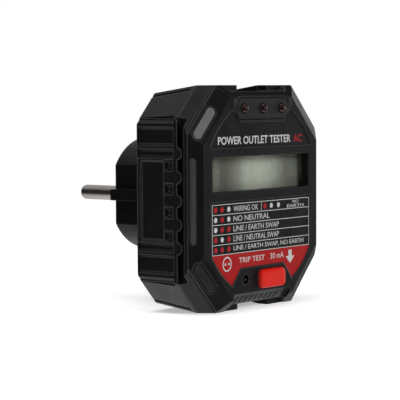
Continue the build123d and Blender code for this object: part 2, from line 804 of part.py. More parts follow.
with BuildPart() as sounder:
    with BuildSketch(depth_plane(display_board_depth - sounder_height)):
        with Locations((port_x, sounder_z)):
            Circle(sounder_radius)
    extrude(amount=-sounder_height)
    with BuildSketch(depth_plane(display_board_depth - sounder_height)):
        with Locations((port_x, sounder_z)):
            Circle(port_radius / 2)
    extrude(amount=-1.0, mode=Mode.SUBTRACT)
save(sounder.part, "sounder")

# ---- boards and the parts on them ---------------------------------------------------------------
board_back = display_board_depth + board_thickness

with BuildPart() as display_board:
    with BuildSketch(depth_plane(display_board_depth)):
        octagon(board_half_width, board_half_height, board_corner_reach)
        with Locations(*screw_places):
            Circle(screw_boss_radius + board_gap, mode=Mode.SUBTRACT)
        with Locations((0, led_z)):
            with GridLocations(led_spacing, 0, 3, 1):
                with GridLocations(led_lead_spacing, 0, 2, 1):
                    Circle(led_lead, mode=Mode.SUBTRACT)
    extrude(amount=-board_thickness)
save(display_board.part, "display_board")

with BuildPart() as microcontroller:
    with BuildSketch(depth_plane(board_back)):
        with Locations((0, chip_z)):
            Rectangle(chip_size, chip_size)
    extrude(amount=-chip_thickness)
    chamfer(microcontroller.faces().sort_by(Axis.Y)[-1].edges(), 0.2)
save(microcontroller.part, "microcontroller")

with BuildPart() as board_link:
    with BuildSketch(depth_plane(board_back)):
        with Locations((0, link_z)):
            Rectangle(link_width, link_height)
    extrude(amount=-(power_board_depth - board_back))
save(board_link.part, "board_link")

with BuildPart() as power_board:
    with BuildSketch(depth_plane(power_board_depth)):
        RectangleRounded(2 * power_board_half_width, 2 * power_board_half_height, 1.0)
    extrude(amount=-board_thickness)
save(power_board.part, "power_board")

with BuildPart() as fuse:
    with BuildSketch(Plane(origin=(fuse_x - fuse_length / 2, 0, 0), x_dir=(0, 1, 0), z_dir=(1, 0, 0))):
        with Locations((front_y + power_board_depth - fuse_radius, fuse_z)):
            Circle(fuse_radius)
    extrude(amount=fuse_length)
save(fuse.part, "fuse")

for row, resistor_name in ((0, "load_resistor_a"), (1, "load_resistor_b")):
    with BuildPart() as load_resistor:
        with BuildSketch(Plane(origin=(resistor_x, 0, 0), x_dir=(0, 1, 0), z_dir=(1, 0, 0))):
            with Locations((front_y + power_board_depth - resistor_radius, resistor_z + row * resistor_pitch)):
                Circle(resistor_radius)
        extrude(amount=resistor_length / 2, both=True)
    save(load_resistor.part, resistor_name)

with BuildPart() as capacitor:
    with BuildSketch(depth_plane(power_board_depth)):
        with Locations((capacitor_x, capacitor_z)):
            Rectangle(capacitor_width, capacitor_height)
    extrude(amount=capacitor_depth)
    fillet(capacitor.faces().sort_by(Axis.Y)[0].edges(), 0.4)
save(capacitor.part, "capacitor")

with BuildPart() as surge_arrester:
    with BuildSketch(depth_plane(power_board_depth)):
        with Locations((arrester_x, arrester_z)):
            Circle(arrester_radius)
    extrude(amount=arrester_thickness)
    fillet(surge_arrester.faces().sort_by(Axis.Y)[0].edges(), 0.8)
save(surge_arrester.part, "surge_arrester")

# ---- plug -----------------------------------------------------------------------------------------
flange_depth = rear_wall_depth - flange_thickness
clip_outer_z = boss_radius - clip_groove_gap
clip_inner_z = boss_flat - boss_wall - 2.0
clip_root_y = -clip_length

with BuildPart() as plug_body:
    with BuildSketch(depth_plane(flange_depth)):
        plug_outline()
    extrude(amount=-(case_depth + boss_length - flange_depth))
    fillet(plug_body.faces().sort_by(Axis.Y)[-1].edges(), boss_edge_radius)
    with BuildSketch(depth_plane(flange_depth)):
        Circle(flange_radius)
        with PolarLocations(flange_screw_radius, 4, start_angle=flange_screw_angle):
            Circle(flange_screw_size + screw_clearance, mode=Mode.SUBTRACT)
    extrude(amount=-flange_thickness)
    with BuildSketch(depth_plane(flange_depth)):
        Circle(boss_flat - boss_wall)
    extrude(amount=-(case_depth + boss_length - flange_depth - boss_end_wall), mode=Mode.SUBTRACT)
    with BuildSketch(Plane.XZ):
        with GridLocations(pin_spacing, 0, 2, 1):
            Circle(pin_shank_radius)
    extrude(amount=boss_end_wall, mode=Mode.SUBTRACT)
    # shallow relief round the foot of each pin
    with BuildSketch(Plane.XZ):
        with GridLocations(pin_spacing, 0, 2, 1):
            Circle(pin_radius + pin_relief)
    extrude(amount=pin_relief_depth, mode=Mode.SUBTRACT)
    for up in (1, -1):
        # groove for the earth clip, and the slot its leg goes in by
        with BuildSketch(Plane.XZ):
            with Locations((0, up * (boss_radius - clip_groove_depth / 2 + 1))):
                Rectangle(clip_width + 2 * clip_groove_gap, clip_groove_depth + 2)
        extrude(amount=clip_length, mode=Mode.SUBTRACT)
        with BuildSketch(Plane.XZ.offset(clip_length)):
            with Locations((0, up * (boss_flat - boss_wall + boss_radius) / 2)):
                Rectangle(clip_width, boss_radius - boss_flat + boss_wall + 2)
        extrude(amount=-clip_thickness, mode=Mode.SUBTRACT)
save(plug_body.part, "plug_body")

for side, pin_name in ((-1, "pin_left"), (1, "pin_right")):
    with BuildPart() as plug_pin:
        with BuildSketch(Plane.XZ):
            with Locations((side * pin_spacing / 2, 0)):
                Circle(pin_radius)
        extrude(amount=-pin_length)
        fillet(plug_pin.faces().sort_by(Axis.Y)[-1].edges(), pin_tip_radius)
        with BuildSketch(Plane.XZ):
            with Locations((side * pin_spacing / 2, 0)):
                Circle(pin_shank_radius)
        extrude(amount=pin_shank_length)
    save(plug_pin.part, pin_name)

for up, clip_name in ((1, "earth_clip_top"), (-1, "earth_clip_bottom")):
    with BuildPart() as earth_clip:
        with BuildSketch(Plane.YZ.offset(-clip_width / 2)):
            filled([
                (-clip_lip_gap, up * (clip_outer_z - clip_lip)),
                (-clip_lip_gap, up * clip_outer_z),
                (clip_root_y, up * clip_outer_z),
                (clip_root_y, up * clip_inner_z),
                (clip_root_y + clip_thickness, up * clip_inner_z),
                (clip_root_y + clip_thickness, up * (clip_outer_z - clip_thickness)),
                (-clip_lip_gap - clip_thickness, up * (clip_outer_z - clip_thickness)),
                (-clip_lip_gap - clip_thickness, up * (clip_outer_z - clip_lip)),
            ])
        extrude(amount=clip_width)
    save(earth_clip.part, clip_name)

with BuildPart() as earth_bridge:
    with BuildSketch(Plane.XZ.offset(clip_length)):
        Rectangle(clip_width, 2 * clip_inner_z)
    extrude(amount=-clip_thickness)
save(earth_bridge.part, "earth_bridge")

for side, strap_name in ((-1, "pin_strap_left"), (1, "pin_strap_right")):
    with BuildPart() as pin_strap:
        with BuildSketch(Plane.XZ.offset(pin_shank_length)):
            with Locations((side * pin_spacing / 2, 0)):
                Rectangle(strap_width, strap_thickness)
        extrude(amount=-front_y - power_board_depth - board_thickness - pin_shank_length)
    save(pin_strap.part, strap_name)

# ---- screws ------------------------------------------------------------------------------------------
head_depth = case_depth - screw_head_sunk - screw_head_height

with BuildPart() as case_screws:
    with BuildSketch(depth_plane(screw_tip_depth)):
        with Locations(*screw_places):
            Circle(screw_radius)
    extrude(amount=-(head_depth - screw_tip_depth))
    with BuildSketch(depth_plane(head_depth)):
        with Locations(*screw_places):
            Circle(screw_head_radius)
    extrude(amount=-screw_head_height)
    with BuildSketch(depth_plane(head_depth + screw_head_height)):
        with Locations(*screw_places):
            Rectangle(cross_length, cross_width)
            Rectangle(cross_width, cross_length)
    extrude(amount=cross_depth, mode=Mode.SUBTRACT)
save(case_screws.part, "case_screws")

with BuildPart() as plug_screws:
    with BuildSketch(depth_plane(flange_depth)):
        with PolarLocations(flange_screw_radius, 4, start_angle=flange_screw_angle):
            Circle(flange_screw_head_radius)
    extrude(amount=flange_screw_head_height)
    with BuildSketch(depth_plane(flange_depth)):
        with PolarLocations(flange_screw_radius, 4, start_angle=flange_screw_angle):
            Circle(flange_screw_size)
    extrude(amount=-(flange_thickness + wall - 0.8))
save(plug_screws.part, "plug_screws")
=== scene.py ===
"""Looks of a plug-in outlet tester: finishes for its CAD nodes, and the fine pieces that stand on them."""

import logging
import math
from dataclasses import dataclass
from enum import Enum
from typing import Iterable

import bmesh
import bpy
from mathutils import Matrix, Vector


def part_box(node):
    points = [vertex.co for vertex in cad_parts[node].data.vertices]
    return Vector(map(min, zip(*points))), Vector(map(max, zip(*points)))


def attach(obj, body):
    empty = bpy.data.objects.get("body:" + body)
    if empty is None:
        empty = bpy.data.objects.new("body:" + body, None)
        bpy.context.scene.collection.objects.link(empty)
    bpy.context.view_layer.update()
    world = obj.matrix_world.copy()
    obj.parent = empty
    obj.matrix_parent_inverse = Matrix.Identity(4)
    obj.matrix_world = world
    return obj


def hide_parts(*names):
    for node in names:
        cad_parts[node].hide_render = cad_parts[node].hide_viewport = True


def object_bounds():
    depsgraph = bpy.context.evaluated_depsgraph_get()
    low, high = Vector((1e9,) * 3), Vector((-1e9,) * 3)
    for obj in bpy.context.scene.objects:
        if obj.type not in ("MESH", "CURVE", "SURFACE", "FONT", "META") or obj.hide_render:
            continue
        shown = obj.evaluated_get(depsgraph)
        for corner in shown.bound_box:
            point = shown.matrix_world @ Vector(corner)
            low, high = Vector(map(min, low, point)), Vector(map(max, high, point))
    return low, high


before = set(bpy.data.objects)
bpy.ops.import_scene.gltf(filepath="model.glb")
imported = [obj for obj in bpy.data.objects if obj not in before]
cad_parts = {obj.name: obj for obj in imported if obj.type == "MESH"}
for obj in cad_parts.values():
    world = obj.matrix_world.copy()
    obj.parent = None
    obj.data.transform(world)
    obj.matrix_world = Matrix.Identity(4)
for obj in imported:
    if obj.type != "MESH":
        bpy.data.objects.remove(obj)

CAD_BOX = [list(corner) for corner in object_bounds()]
MM = 0.001
LOG = logging.getLogger("outlet_tester")

Colour = tuple[float, float, float]
Point = tuple[float, float]


class Body(Enum):
    """The CAD bodies that a piece can ride on."""

    CASE = "case"
    BUTTON = "button"


class Slot(Enum):
    """Material slot names of the record; no piece here takes its finish from them."""

    CASE = "case_black"
    PRINT = "label_print"
    LCD = "lcd_glass"
    LAMP = "lamp_red"
    BUTTON = "button_red"
    CLIP = "clip_nickel"
    COMPONENT = "component_black"


# ---------------------------------------------------------------- materials


class Recipe:
    """The node tree of one material while it is being filled."""

    def __init__(self, name: str) -> None:
        """Start a material that holds one Principled shader.

        Args:
            name: name of the material.
        """
        self.material = bpy.data.materials.new(name)
        self.material.use_nodes = True
        self.tree = self.material.node_tree
        self.tree.nodes.clear()
        self.output = self.node("ShaderNodeOutputMaterial")
        self.shader = self.node("ShaderNodeBsdfPrincipled")
        self.link(self.shader.outputs[0], self.output.inputs["Surface"])
        self.place = self.node("ShaderNodeTexCoord").outputs["Object"]

    def node(self, kind: str) -> bpy.types.Node:
        """Add a node of a kind."""
        return self.tree.nodes.new(kind)

    def link(self, source: bpy.types.NodeSocket, target: bpy.types.NodeSocket) -> None:
        """Link an output to an input."""
        self.tree.links.new(source, target)

    def stretched(self, scale: Colour) -> bpy.types.NodeSocket:
        """Object coordinates multiplied by a scale on each axis."""
        mapping = self.node("ShaderNodeMapping")
        mapping.inputs["Scale"].default_value = scale
        self.link(self.place, mapping.inputs["Vector"])
        return mapping.outputs["Vector"]

    def noise(self, size_mm: float, detail: float = 2.0,
              stretch: Colour = (1.0, 1.0, 1.0)) -> bpy.types.NodeSocket:
        """Noise whose lumps are about a given size.

        Args:
            size_mm: size of a lump.
            detail: octaves of finer noise.
            stretch: how much tighter the lumps are along each axis.

        Returns:
            The noise value, 0 to 1.
        """
        texture = self.node("ShaderNodeTexNoise")
        texture.inputs["Scale"].default_value = 1.0 / (size_mm * MM)
        texture.inputs["Detail"].default_value = detail
        self.link(self.stretched(stretch), texture.inputs["Vector"])
        return texture.outputs["Fac"]

    def cells(self, size_mm: float) -> bpy.types.NodeSocket:
        """Distance to the nearest point of a cell pattern, for a moulded texture."""
        texture = self.node("ShaderNodeTexVoronoi")
        texture.inputs["Scale"].default_value = 1.0 / (size_mm * MM)
        self.link(self.place, texture.inputs["Vector"])
        return texture.outputs["Distance"]

    def span(self, value: bpy.types.NodeSocket, low: float, high: float,
             start: float = 0.3, stop: float = 0.7) -> bpy.types.NodeSocket:
        """Map a value from start..stop to low..high, held between them."""
        mapped = self.node("ShaderNodeMapRange")
        for key, number in (("From Min", start), ("From Max", stop), ("To Min", low), ("To Max", high)):
            mapped.inputs[key].default_value = number
        self.link(value, mapped.inputs["Value"])
        return mapped.outputs["Result"]

    def ramp(self, value: bpy.types.NodeSocket,
             stops: Iterable[tuple[float, Colour]]) -> bpy.types.NodeSocket:
        """Turn a value into a colour along a list of stops.

        Args:
            value: the value, 0 to 1.
            stops: position and colour of each stop, in rising order.

        Returns:
            The colour output.
        """
        band = self.node("ShaderNodeValToRGB")
        marks = list(stops)
        elements = band.color_ramp.elements
        while len(elements) < len(marks):
            elements.new(0.5)
        for element, (position, colour) in zip(elements, marks):
            element.position = position
            element.color = (*colour, 1.0)
        self.link(value, band.inputs["Fac"])
        return band.outputs["Color"]

    def blend(self, factor: bpy.types.NodeSocket, first: bpy.types.NodeSocket, second: Colour,
              how: str = "MIX") -> bpy.types.NodeSocket:
        """Mix a colour output with a plain colour by a factor."""
        mix = self.node("ShaderNodeMix")
        mix.data_type = "RGBA"
        mix.blend_type = how
        self.link(factor, mix.inputs[0])
        self.link(first, mix.inputs[6])
        mix.inputs[7].default_value = (*second, 1.0)
        return mix.outputs[2]

    def bump(self, height: bpy.types.NodeSocket, depth_mm: float,
             below: bpy.types.NodeSocket | None = None) -> bpy.types.NodeSocket:
        """Add relief of a depth on top of another normal, if there is one."""
        relief = self.node("ShaderNodeBump")
        relief.inputs["Distance"].default_value = depth_mm * MM
        self.link(height, relief.inputs["Height"])
        if below is not None:
            self.link(below, relief.inputs["Normal"])
        return relief.outputs["Normal"]

    def soft_edges(self, radius_mm: float) -> bpy.types.NodeSocket:
        """A normal that rounds sharp edges off by a radius."""
        bevel = self.node("ShaderNodeBevel")
        bevel.samples = 6
        bevel.inputs["Radius"].default_value = radius_mm * MM
        return bevel.outputs["Normal"]

    def edge_mask(self, rounded: bpy.types.NodeSocket, strength: float) -> bpy.types.NodeSocket:
        """How far a surface point is on a rounded edge.

        Args:
            rounded: the normal with its edges rounded off.
            strength: the mask's value on a full edge.

        Returns:
            The mask's output socket.
        """
        facing = self.node("ShaderNodeVectorMath")
        facing.operation = "DOT_PRODUCT"
        self.link(self.node("ShaderNodeNewGeometry").outputs["True Normal"], facing.inputs[0])
        self.link(rounded, facing.inputs[1])
        return self.span(facing.outputs["Value"], strength, 0.0, 0.93, 0.995)

    def set(self, **sockets: float) -> None:
        """Set sockets of the shader that are the same all over; underscores stand for spaces."""
        for key, number in sockets.items():
            self.shader.inputs[key.replace("_", " ")].default_value = number

    def feed(self, **outputs: bpy.types.NodeSocket) -> None:
        """Link outputs to sockets of the shader; underscores stand for spaces."""
        for key, source in outputs.items():
            self.link(source, self.shader.inputs[key.replace("_", " ")])


def scaled(colour: Colour, factor: float) -> Colour:
    """A colour made lighter or darker."""
    return tuple(min(1.0, channel * factor) for channel in colour)


@dataclass(frozen=True)
class MouldedPlastic:
    """Injection-moulded plastic or rubber with a spark-eroded grain, a little handling wear and, where asked,
    a painted highlight along its rounded edges.
    """

    name: str
    colour: Colour
    roughness: float = 0.42
    gloss: float = 0.4
    grain_mm: float = 0.22
    grain_depth_mm: float = 0.012
    flow_mm: float = 9.0
    mottle: float = 0.12
    edge_mm: float = 0.55
    wear: float = 0.0
    # painted highlight: how strongly rounded edges are lightened, and how much lighter their colour gets
    painted_edge_highlight: float = 0.0
    painted_highlight_gain: float = 14.0

    def material(self) -> bpy.types.Material:
        """Build the material."""
        recipe = Recipe(self.name)
        flow = recipe.noise(self.flow_mm, 3.0)
        speck = recipe.noise(self.grain_mm * 3.0, 1.0)
        colour = recipe.ramp(flow, [
            (0.3, scaled(self.colour, 1.0 - self.mottle)),
            (0.5, self.colour),
            (0.72, scaled(self.colour, 1.0 + self.mottle)),
        ])
        colour = recipe.blend(recipe.span(speck, 0.0, 0.18, 0.62, 0.78), colour, scaled(self.colour, 1.9))
        rubbed = recipe.span(recipe.noise(3.2, 4.0, (1.0, 2.6, 1.0)), 0.0, 1.0, 0.6, 0.72)
        if self.wear > 0:
            share = recipe.node("ShaderNodeMath")
            share.operation = "MULTIPLY"
            share.inputs[1].default_value = self.wear
            recipe.link(rubbed, share.inputs[0])
            colour = recipe.blend(share.outputs[0], colour, scaled(self.colour, 2.6))
        normal = recipe.soft_edges(self.edge_mm)
        # painted highlight: colour lightened along rounded edges, standing in for light caught on them
        if self.painted_edge_highlight > 0:
            mask = recipe.edge_mask(normal, self.painted_edge_highlight)
            colour = recipe.blend(mask, colour, scaled(self.colour, self.painted_highlight_gain))
        recipe.feed(Base_Color=colour)
        recipe.feed(Roughness=recipe.span(
            recipe.noise(5.0, 4.0), self.roughness - 0.06, self.roughness + 0.07))
        normal = recipe.bump(recipe.cells(self.grain_mm), self.grain_depth_mm, normal)
        normal = recipe.bump(flow, 0.05, normal)
        recipe.feed(Normal=normal)
        recipe.set(Specular_IOR_Level=self.gloss)
        return recipe.material


@dataclass(frozen=True)
class PrintedInk:
    """Screen-printed ink: slightly uneven cover over a thin gloss."""

    name: str
    colour: Colour
    roughness: float = 0.45
    thin: float = 0.14

    def material(self) -> bpy.types.Material:
        """Build the material."""
        recipe = Recipe(self.name)
        cover = recipe.noise(0.35, 3.0)
        recipe.feed(Base_Color=recipe.ramp(cover, [
            (0.32, scaled(self.colour, 1.0 - self.thin)),
            (0.6, self.colour),
        ]))
        recipe.feed(Roughness=recipe.span(
            recipe.noise(2.0, 2.0), self.roughness - 0.05, self.roughness + 0.08))
        recipe.feed(Normal=recipe.bump(cover, 0.004))
        recipe.set(Specular_IOR_Level=0.2)
        return recipe.material


@dataclass(frozen=True)
class Metal:
    """Plated or plain metal with fine turning or drawing marks across one axis."""

    name: str
    colour: Colour
    roughness: float = 0.22
    marks: Colour = (1.0, 14.0, 1.0)
    mark_mm: float = 1.2
    mark_depth_mm: float = 0.006
    tarnish: float = 0.12

    def material(self) -> bpy.types.Material:
        """Build the material."""
        recipe = Recipe(self.name)
        marks = recipe.noise(self.mark_mm, 3.0, self.marks)
        cloud = recipe.noise(4.0, 3.0)
        recipe.feed(Base_Color=recipe.ramp(cloud, [
            (0.3, scaled(self.colour, 1.0 - self.tarnish)),
            (0.6, self.colour),
        ]))
        recipe.feed(Roughness=recipe.span(marks, self.roughness - 0.06, self.roughness + 0.1))
        recipe.feed(Normal=recipe.bump(marks, self.mark_depth_mm, recipe.soft_edges(0.12)))
        recipe.set(Metallic=1.0)
        return recipe.material


@dataclass(frozen=True)
class ClearSheet:
    """A clear moulded window: see-through, with a faint smear in its gloss."""

    name: str
    haze: float = 0.03
    roughness: float = 0.05

    def material(self) -> bpy.types.Material:
        """Build the material."""
        recipe = Recipe(self.name)
        recipe.tree.nodes.remove(recipe.shader)
        through = recipe.node("ShaderNodeBsdfTransparent")
        through.inputs["Color"].default_value = (0.93, 0.95, 0.92, 1.0)
        gloss = recipe.node("ShaderNodeBsdfGlossy")
        smear = recipe.noise(6.0, 4.0, (1.0, 1.0, 2.4))
        recipe.link(recipe.span(smear, self.roughness, self.roughness + 0.1), gloss.inputs["Roughness"])
        slant = recipe.node("ShaderNodeLayerWeight")
        slant.inputs["Blend"].default_value = 0.5
        mix = recipe.node("ShaderNodeMixShader")
        recipe.link(recipe.span(slant.outputs["Facing"], self.haze, 0.6, 0.45, 1.0), mix.inputs[0])
        recipe.link(through.outputs[0], mix.inputs[1])
        recipe.link(gloss.outputs[0], mix.inputs[2])
        recipe.link(mix.outputs[0], recipe.output.inputs["Surface"])
        return recipe.material


@dataclass(frozen=True)
class ReflectiveLcd:
    """An unlit reflective display, grey, with painted light on it: a painted pool of light over its middle
    that falls off to its ends, a painted reflection band near its left end and a painted shadow along its
    top.
    """

    name: str
    painted_light_levels: tuple[Point, ...]
    painted_shadow_mm: tuple[float, float]
    tint: Colour = (1.0, 0.995, 0.935)
    olive: Colour = (0.14, 0.14, 0.1)
    roughness: float = 0.35

    def material(self) -> bpy.types.Material:
        """Build the material."""
        recipe = Recipe(self.name)
        axes = recipe.node("ShaderNodeSeparateXYZ")
        recipe.link(recipe.place, axes.inputs[0])
        # painted light: colour levels along the display stand in for the light on it and for a reflection
        # band near its left end
        left, right = self.painted_light_levels[0][0], self.painted_light_levels[-1][0]
        along = recipe.span(axes.outputs["X"], 0.0, 1.0, left * MM, right * MM)
        glow = recipe.ramp(along, [((x - left) / (right - left), scaled(self.tint, level))
                                   for x, level in self.painted_light_levels])
        # painted shadow: the top band blends towards olive, as under the window's upper wall
        low, high = self.painted_shadow_mm
        glow = recipe.blend(recipe.span(axes.outputs["Z"], 0.0, 0.55, low * MM, high * MM), glow, self.olive)
        film = recipe.noise(1.4, 4.0)
        recipe.feed(Base_Color=recipe.blend(recipe.span(film, 0.0, 0.08), glow, self.olive))
        recipe.feed(Roughness=recipe.span(film, self.roughness - 0.05, self.roughness + 0.08))
        recipe.feed(Normal=recipe.bump(recipe.noise(0.09, 1.0), 0.003))
        recipe.set(Specular_IOR_Level=0.3)
        return recipe.material


@dataclass(frozen=True)
class LampResin:
    """Dyed clear resin of an indicator lamp."""

    name: str
    colour: Colour
    roughness: float = 0.07

    def material(self) -> bpy.types.Material:
        """Build the material."""
        recipe = Recipe(self.name)
        cloud = recipe.noise(0.9, 3.0)
        recipe.feed(Base_Color=recipe.ramp(cloud, [
            (0.3, scaled(self.colour, 0.7)),
            (0.65, self.colour),
        ]))
        recipe.feed(Roughness=recipe.span(cloud, self.roughness, self.roughness + 0.06))
        recipe.feed(Normal=recipe.bump(recipe.noise(0.6, 2.0), 0.004))
        recipe.set(Transmission_Weight=0.85, IOR=1.5, Coat_Weight=0.3, Coat_Roughness=0.05)
        return recipe.material


@dataclass(frozen=True)
class CircuitBoard:
    """Fibreglass board with solder mask over a pattern of copper."""

    name: str
    mask: Colour = (0.012, 0.085, 0.03)
    copper: Colour = (0.035, 0.16, 0.055)

    def material(self) -> bpy.types.Material:
        """Build the material."""
        recipe = Recipe(self.name)
        tracks = recipe.node("ShaderNodeTexBrick")
        tracks.inputs["Scale"].default_value = 1.0 / (6.0 * MM)
        tracks.inputs["Color1"].default_value = (*self.mask, 1.0)
        tracks.inputs["Color2"].default_value = (*scaled(self.mask, 1.25), 1.0)
        tracks.inputs["Mortar"].default_value = (*self.copper, 1.0)
        tracks.inputs["Mortar Size"].default_value = 0.035
        turn = recipe.node("ShaderNodeMapping")
        turn.inputs["Rotation"].default_value = (math.radians(90), 0.0, 0.0)
        recipe.link(recipe.place, turn.inputs["Vector"])
        recipe.link(turn.outputs["Vector"], tracks.inputs["Vector"])
        recipe.feed(Base_Color=tracks.outputs["Color"])
        recipe.feed(Roughness=recipe.span(recipe.noise(1.2, 2.0), 0.3, 0.42))
        recipe.feed(Normal=recipe.bump(tracks.outputs["Fac"], 0.03))
        return recipe.material


# ---------------------------------------------------------------- shapes


class Facing:
    """Where a drawing lies on the front: drawn x to the right, y up, z towards the user, in millimetres."""

    TURN = Matrix(((1, 0, 0, 0), (0, 0, -1, 0), (0, 1, 0, 0), (0, 0, 0, 1)))
    FRONT_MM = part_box("front_cover")[0].y / MM

    @classmethod
    def at_depth(cls, depth: float) -> Matrix:
        """Matrix from drawn millimetres to the part frame in metres.

        Args:
            depth: distance behind the front cover's proudest point, in millimetres.

        Returns:
            The matrix.
        """
        return Matrix.Scale(MM, 4) @ Matrix.Translation((0, cls.FRONT_MM + depth, 0)) @ cls.TURN


class Workpiece:
    """A mesh in hand, drawn in millimetres, that becomes one finished piece."""

    def __init__(self) -> None:
        """Start with an empty mesh."""
        self.mesh = bmesh.new()

    def _raise(self, faces: list[bmesh.types.BMFace], height: float) -> list[bmesh.types.BMVert]:
        """Extrude flat faces upwards by a height and return every vertex of the solid."""
        below = {v for f in faces for v in f.verts}
        made = bmesh.ops.extrude_face_region(self.mesh, geom=faces, use_keep_orig=True)["geom"]
        above = [g for g in made if isinstance(g, bmesh.types.BMVert)]
        bmesh.ops.translate(self.mesh, verts=above, vec=(0, 0, height))
        return list(below) + above

    def move(self, verts: Iterable[bmesh.types.BMVert], x: float, y: float, z: float = 0.0) -> None:
        """Move vertices by a vector."""
        bmesh.ops.translate(self.mesh, verts=list(verts), vec=(x, y, z))

    def disc(self, x: float, y: float, radius: float, height: float, segments: int = 32,
             base: float = 0.0) -> list[bmesh.types.BMVert]:
        """Add a round slab.

        Args:
            x: centre.
            y: centre.
            radius: radius of the slab.
            height: thickness.
            segments: sides of the circle.
            base: level of its underside.

        Returns:
            Its vertices.
        """
        made = bmesh.ops.create_circle(self.mesh, cap_ends=True, segments=segments, radius=radius)["verts"]
        faces = list({f for v in made for f in v.link_faces})
        verts = self._raise(faces, height)
        self.move(verts, x, y, base)
        return verts

    def bar(self, left: float, right: float, low: float, high: float, height: float,
            base: float = 0.0) -> list[bmesh.types.BMVert]:
        """Add a straight-sided slab between four limits.

        Args:
            left: lowest x.
            right: highest x.
            low: lowest y.
            high: highest y.
            height: thickness.
            base: level of its underside.

        Returns:
            Its vertices.
        """
        made = bmesh.ops.create_grid(self.mesh, x_segments=1, y_segments=1, size=0.5)["verts"]
        bmesh.ops.scale(self.mesh, verts=made, vec=(right - left, high - low, 1.0))
        faces = list({f for v in made for f in v.link_faces})
        verts = self._raise(faces, height)
        self.move(verts, (left + right) / 2, (low + high) / 2, base)
        return verts

    def ring(self, x: float, y: float, outer: float, width: float, height: float, segments: int = 48,
             base: float = 0.0) -> list[bmesh.types.BMVert]:
        """Add a flat ring.

        Args:
            x: centre.
            y: centre.
            outer: outer radius.
            width: width of the band.
            height: thickness.
            segments: sides of the circle.
            base: level of its underside.

        Returns:
            Its vertices.
        """
        rims = []
        for radius in (outer, outer - width):
            circle = bmesh.ops.create_circle(self.mesh, segments=segments, radius=radius)["verts"]
            rims += list({e for v in circle for e in v.link_edges})
        faces = bmesh.ops.bridge_loops(self.mesh, edges=rims)["faces"]
        for face in faces:
            if face.normal.z < 0:
                face.normal_flip()
        verts = self._raise(faces, height)
        self.move(verts, x, y, base)
        return verts

    def polygon(self, points: list[Point], height: float, base: float = 0.0) -> list[bmesh.types.BMVert]:
        """Add a slab with a drawn outline.

        Args:
            points: corners of the outline, anticlockwise.
            height: thickness.
            base: level of its underside.

        Returns:
            Its vertices.
        """
        corners = [self.mesh.verts.new((x, y, 0.0)) for x, y in points]
        face = self.mesh.faces.new(corners)
        verts = self._raise([face], height)
        self.move(verts, 0.0, 0.0, base)
        return verts

    def turned(self, profile: list[Point], segments: int = 48) -> list[bmesh.types.BMVert]:
        """Spin a profile about the drawn z axis.

        Args:
            profile: radius and height of each point, from one end to the other.
            segments: steps of the full turn.

        Returns:
            The vertices made.
        """
        before = set(self.mesh.verts)
        chain = [self.mesh.verts.new((radius, 0.0, level)) for radius, level in profile]
        edges = [self.mesh.edges.new(pair) for pair in zip(chain, chain[1:])]
        bmesh.ops.spin(self.mesh, geom=chain + edges, cent=(0, 0, 0), axis=(0, 0, 1), angle=math.tau,
                       steps=segments, use_merge=True)
        made = [v for v in self.mesh.verts if v not in before]
        bmesh.ops.remove_doubles(self.mesh, verts=made, dist=1e-5)
        return [v for v in self.mesh.verts if v not in before]

    def soften(self, edges: list[bmesh.types.BMEdge], width: float, segments: int = 3) -> None:
        """Round a set of edges."""
        bmesh.ops.bevel(self.mesh, geom=edges, offset=width, segments=segments, profile=0.5,
                        affect="EDGES", material=-1, clamp_overlap=True)

    def finish(self, name: str, where: Matrix, material: bpy.types.Material, body: Body,
               replaces: Iterable[str] = (), smooth_degrees: float = 35.0) -> bpy.types.Object:
        """Close the mesh and make it a piece of the model.

        Args:
            name: name of the piece.
            where: matrix from the drawing to the part frame.
            material: its material.
            body: the CAD body that it rides on.
            replaces: CAD nodes that it stands for.
            smooth_degrees: edges flatter than this are shaded smooth.

        Returns:
            The object.
        """
        bmesh.ops.recalc_face_normals(self.mesh, faces=list(self.mesh.faces))
        self.mesh.transform(where)
        data = bpy.data.meshes.new(name)
        self.mesh.to_mesh(data)
        self.mesh.free()
        data.shade_smooth()
        data.set_sharp_from_angle(angle=math.radians(smooth_degrees))
        data.materials.append(material)
        piece = bpy.data.objects.new(name, data)
        bpy.context.scene.collection.objects.link(piece)
        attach(piece, body.value)
        if replaces:
            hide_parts(*replaces)
        LOG.info("%s: %d faces on %s", name, len(data.polygons), body.value)
        return piece


def dress(material: bpy.types.Material, *nodes: str) -> None:
    """Give CAD nodes a finish."""
    for name in nodes:
        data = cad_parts[name].data
        if not data.materials:
            data.materials.append(material)
        for index in range(len(data.materials)):
            data.materials[index] = material
        LOG.info("%s: dressed as %s", name, material.name)


def centre_mm(node: str) -> Vector:
    """Middle of a CAD node's box, in millimetres."""
    low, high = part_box(node)
    return (low + high) / (2 * MM)


def size_mm(node: str) -> Vector:
    """Size of a CAD node's box, in millimetres."""
    low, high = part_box(node)
    return (high - low) / MM


def depth_mm(node: str, back: bool = False) -> float:
    """Depth behind the front rim of a node's front, or back."""
    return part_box(node)[1 if back else 0].y / MM - Facing.FRONT_MM


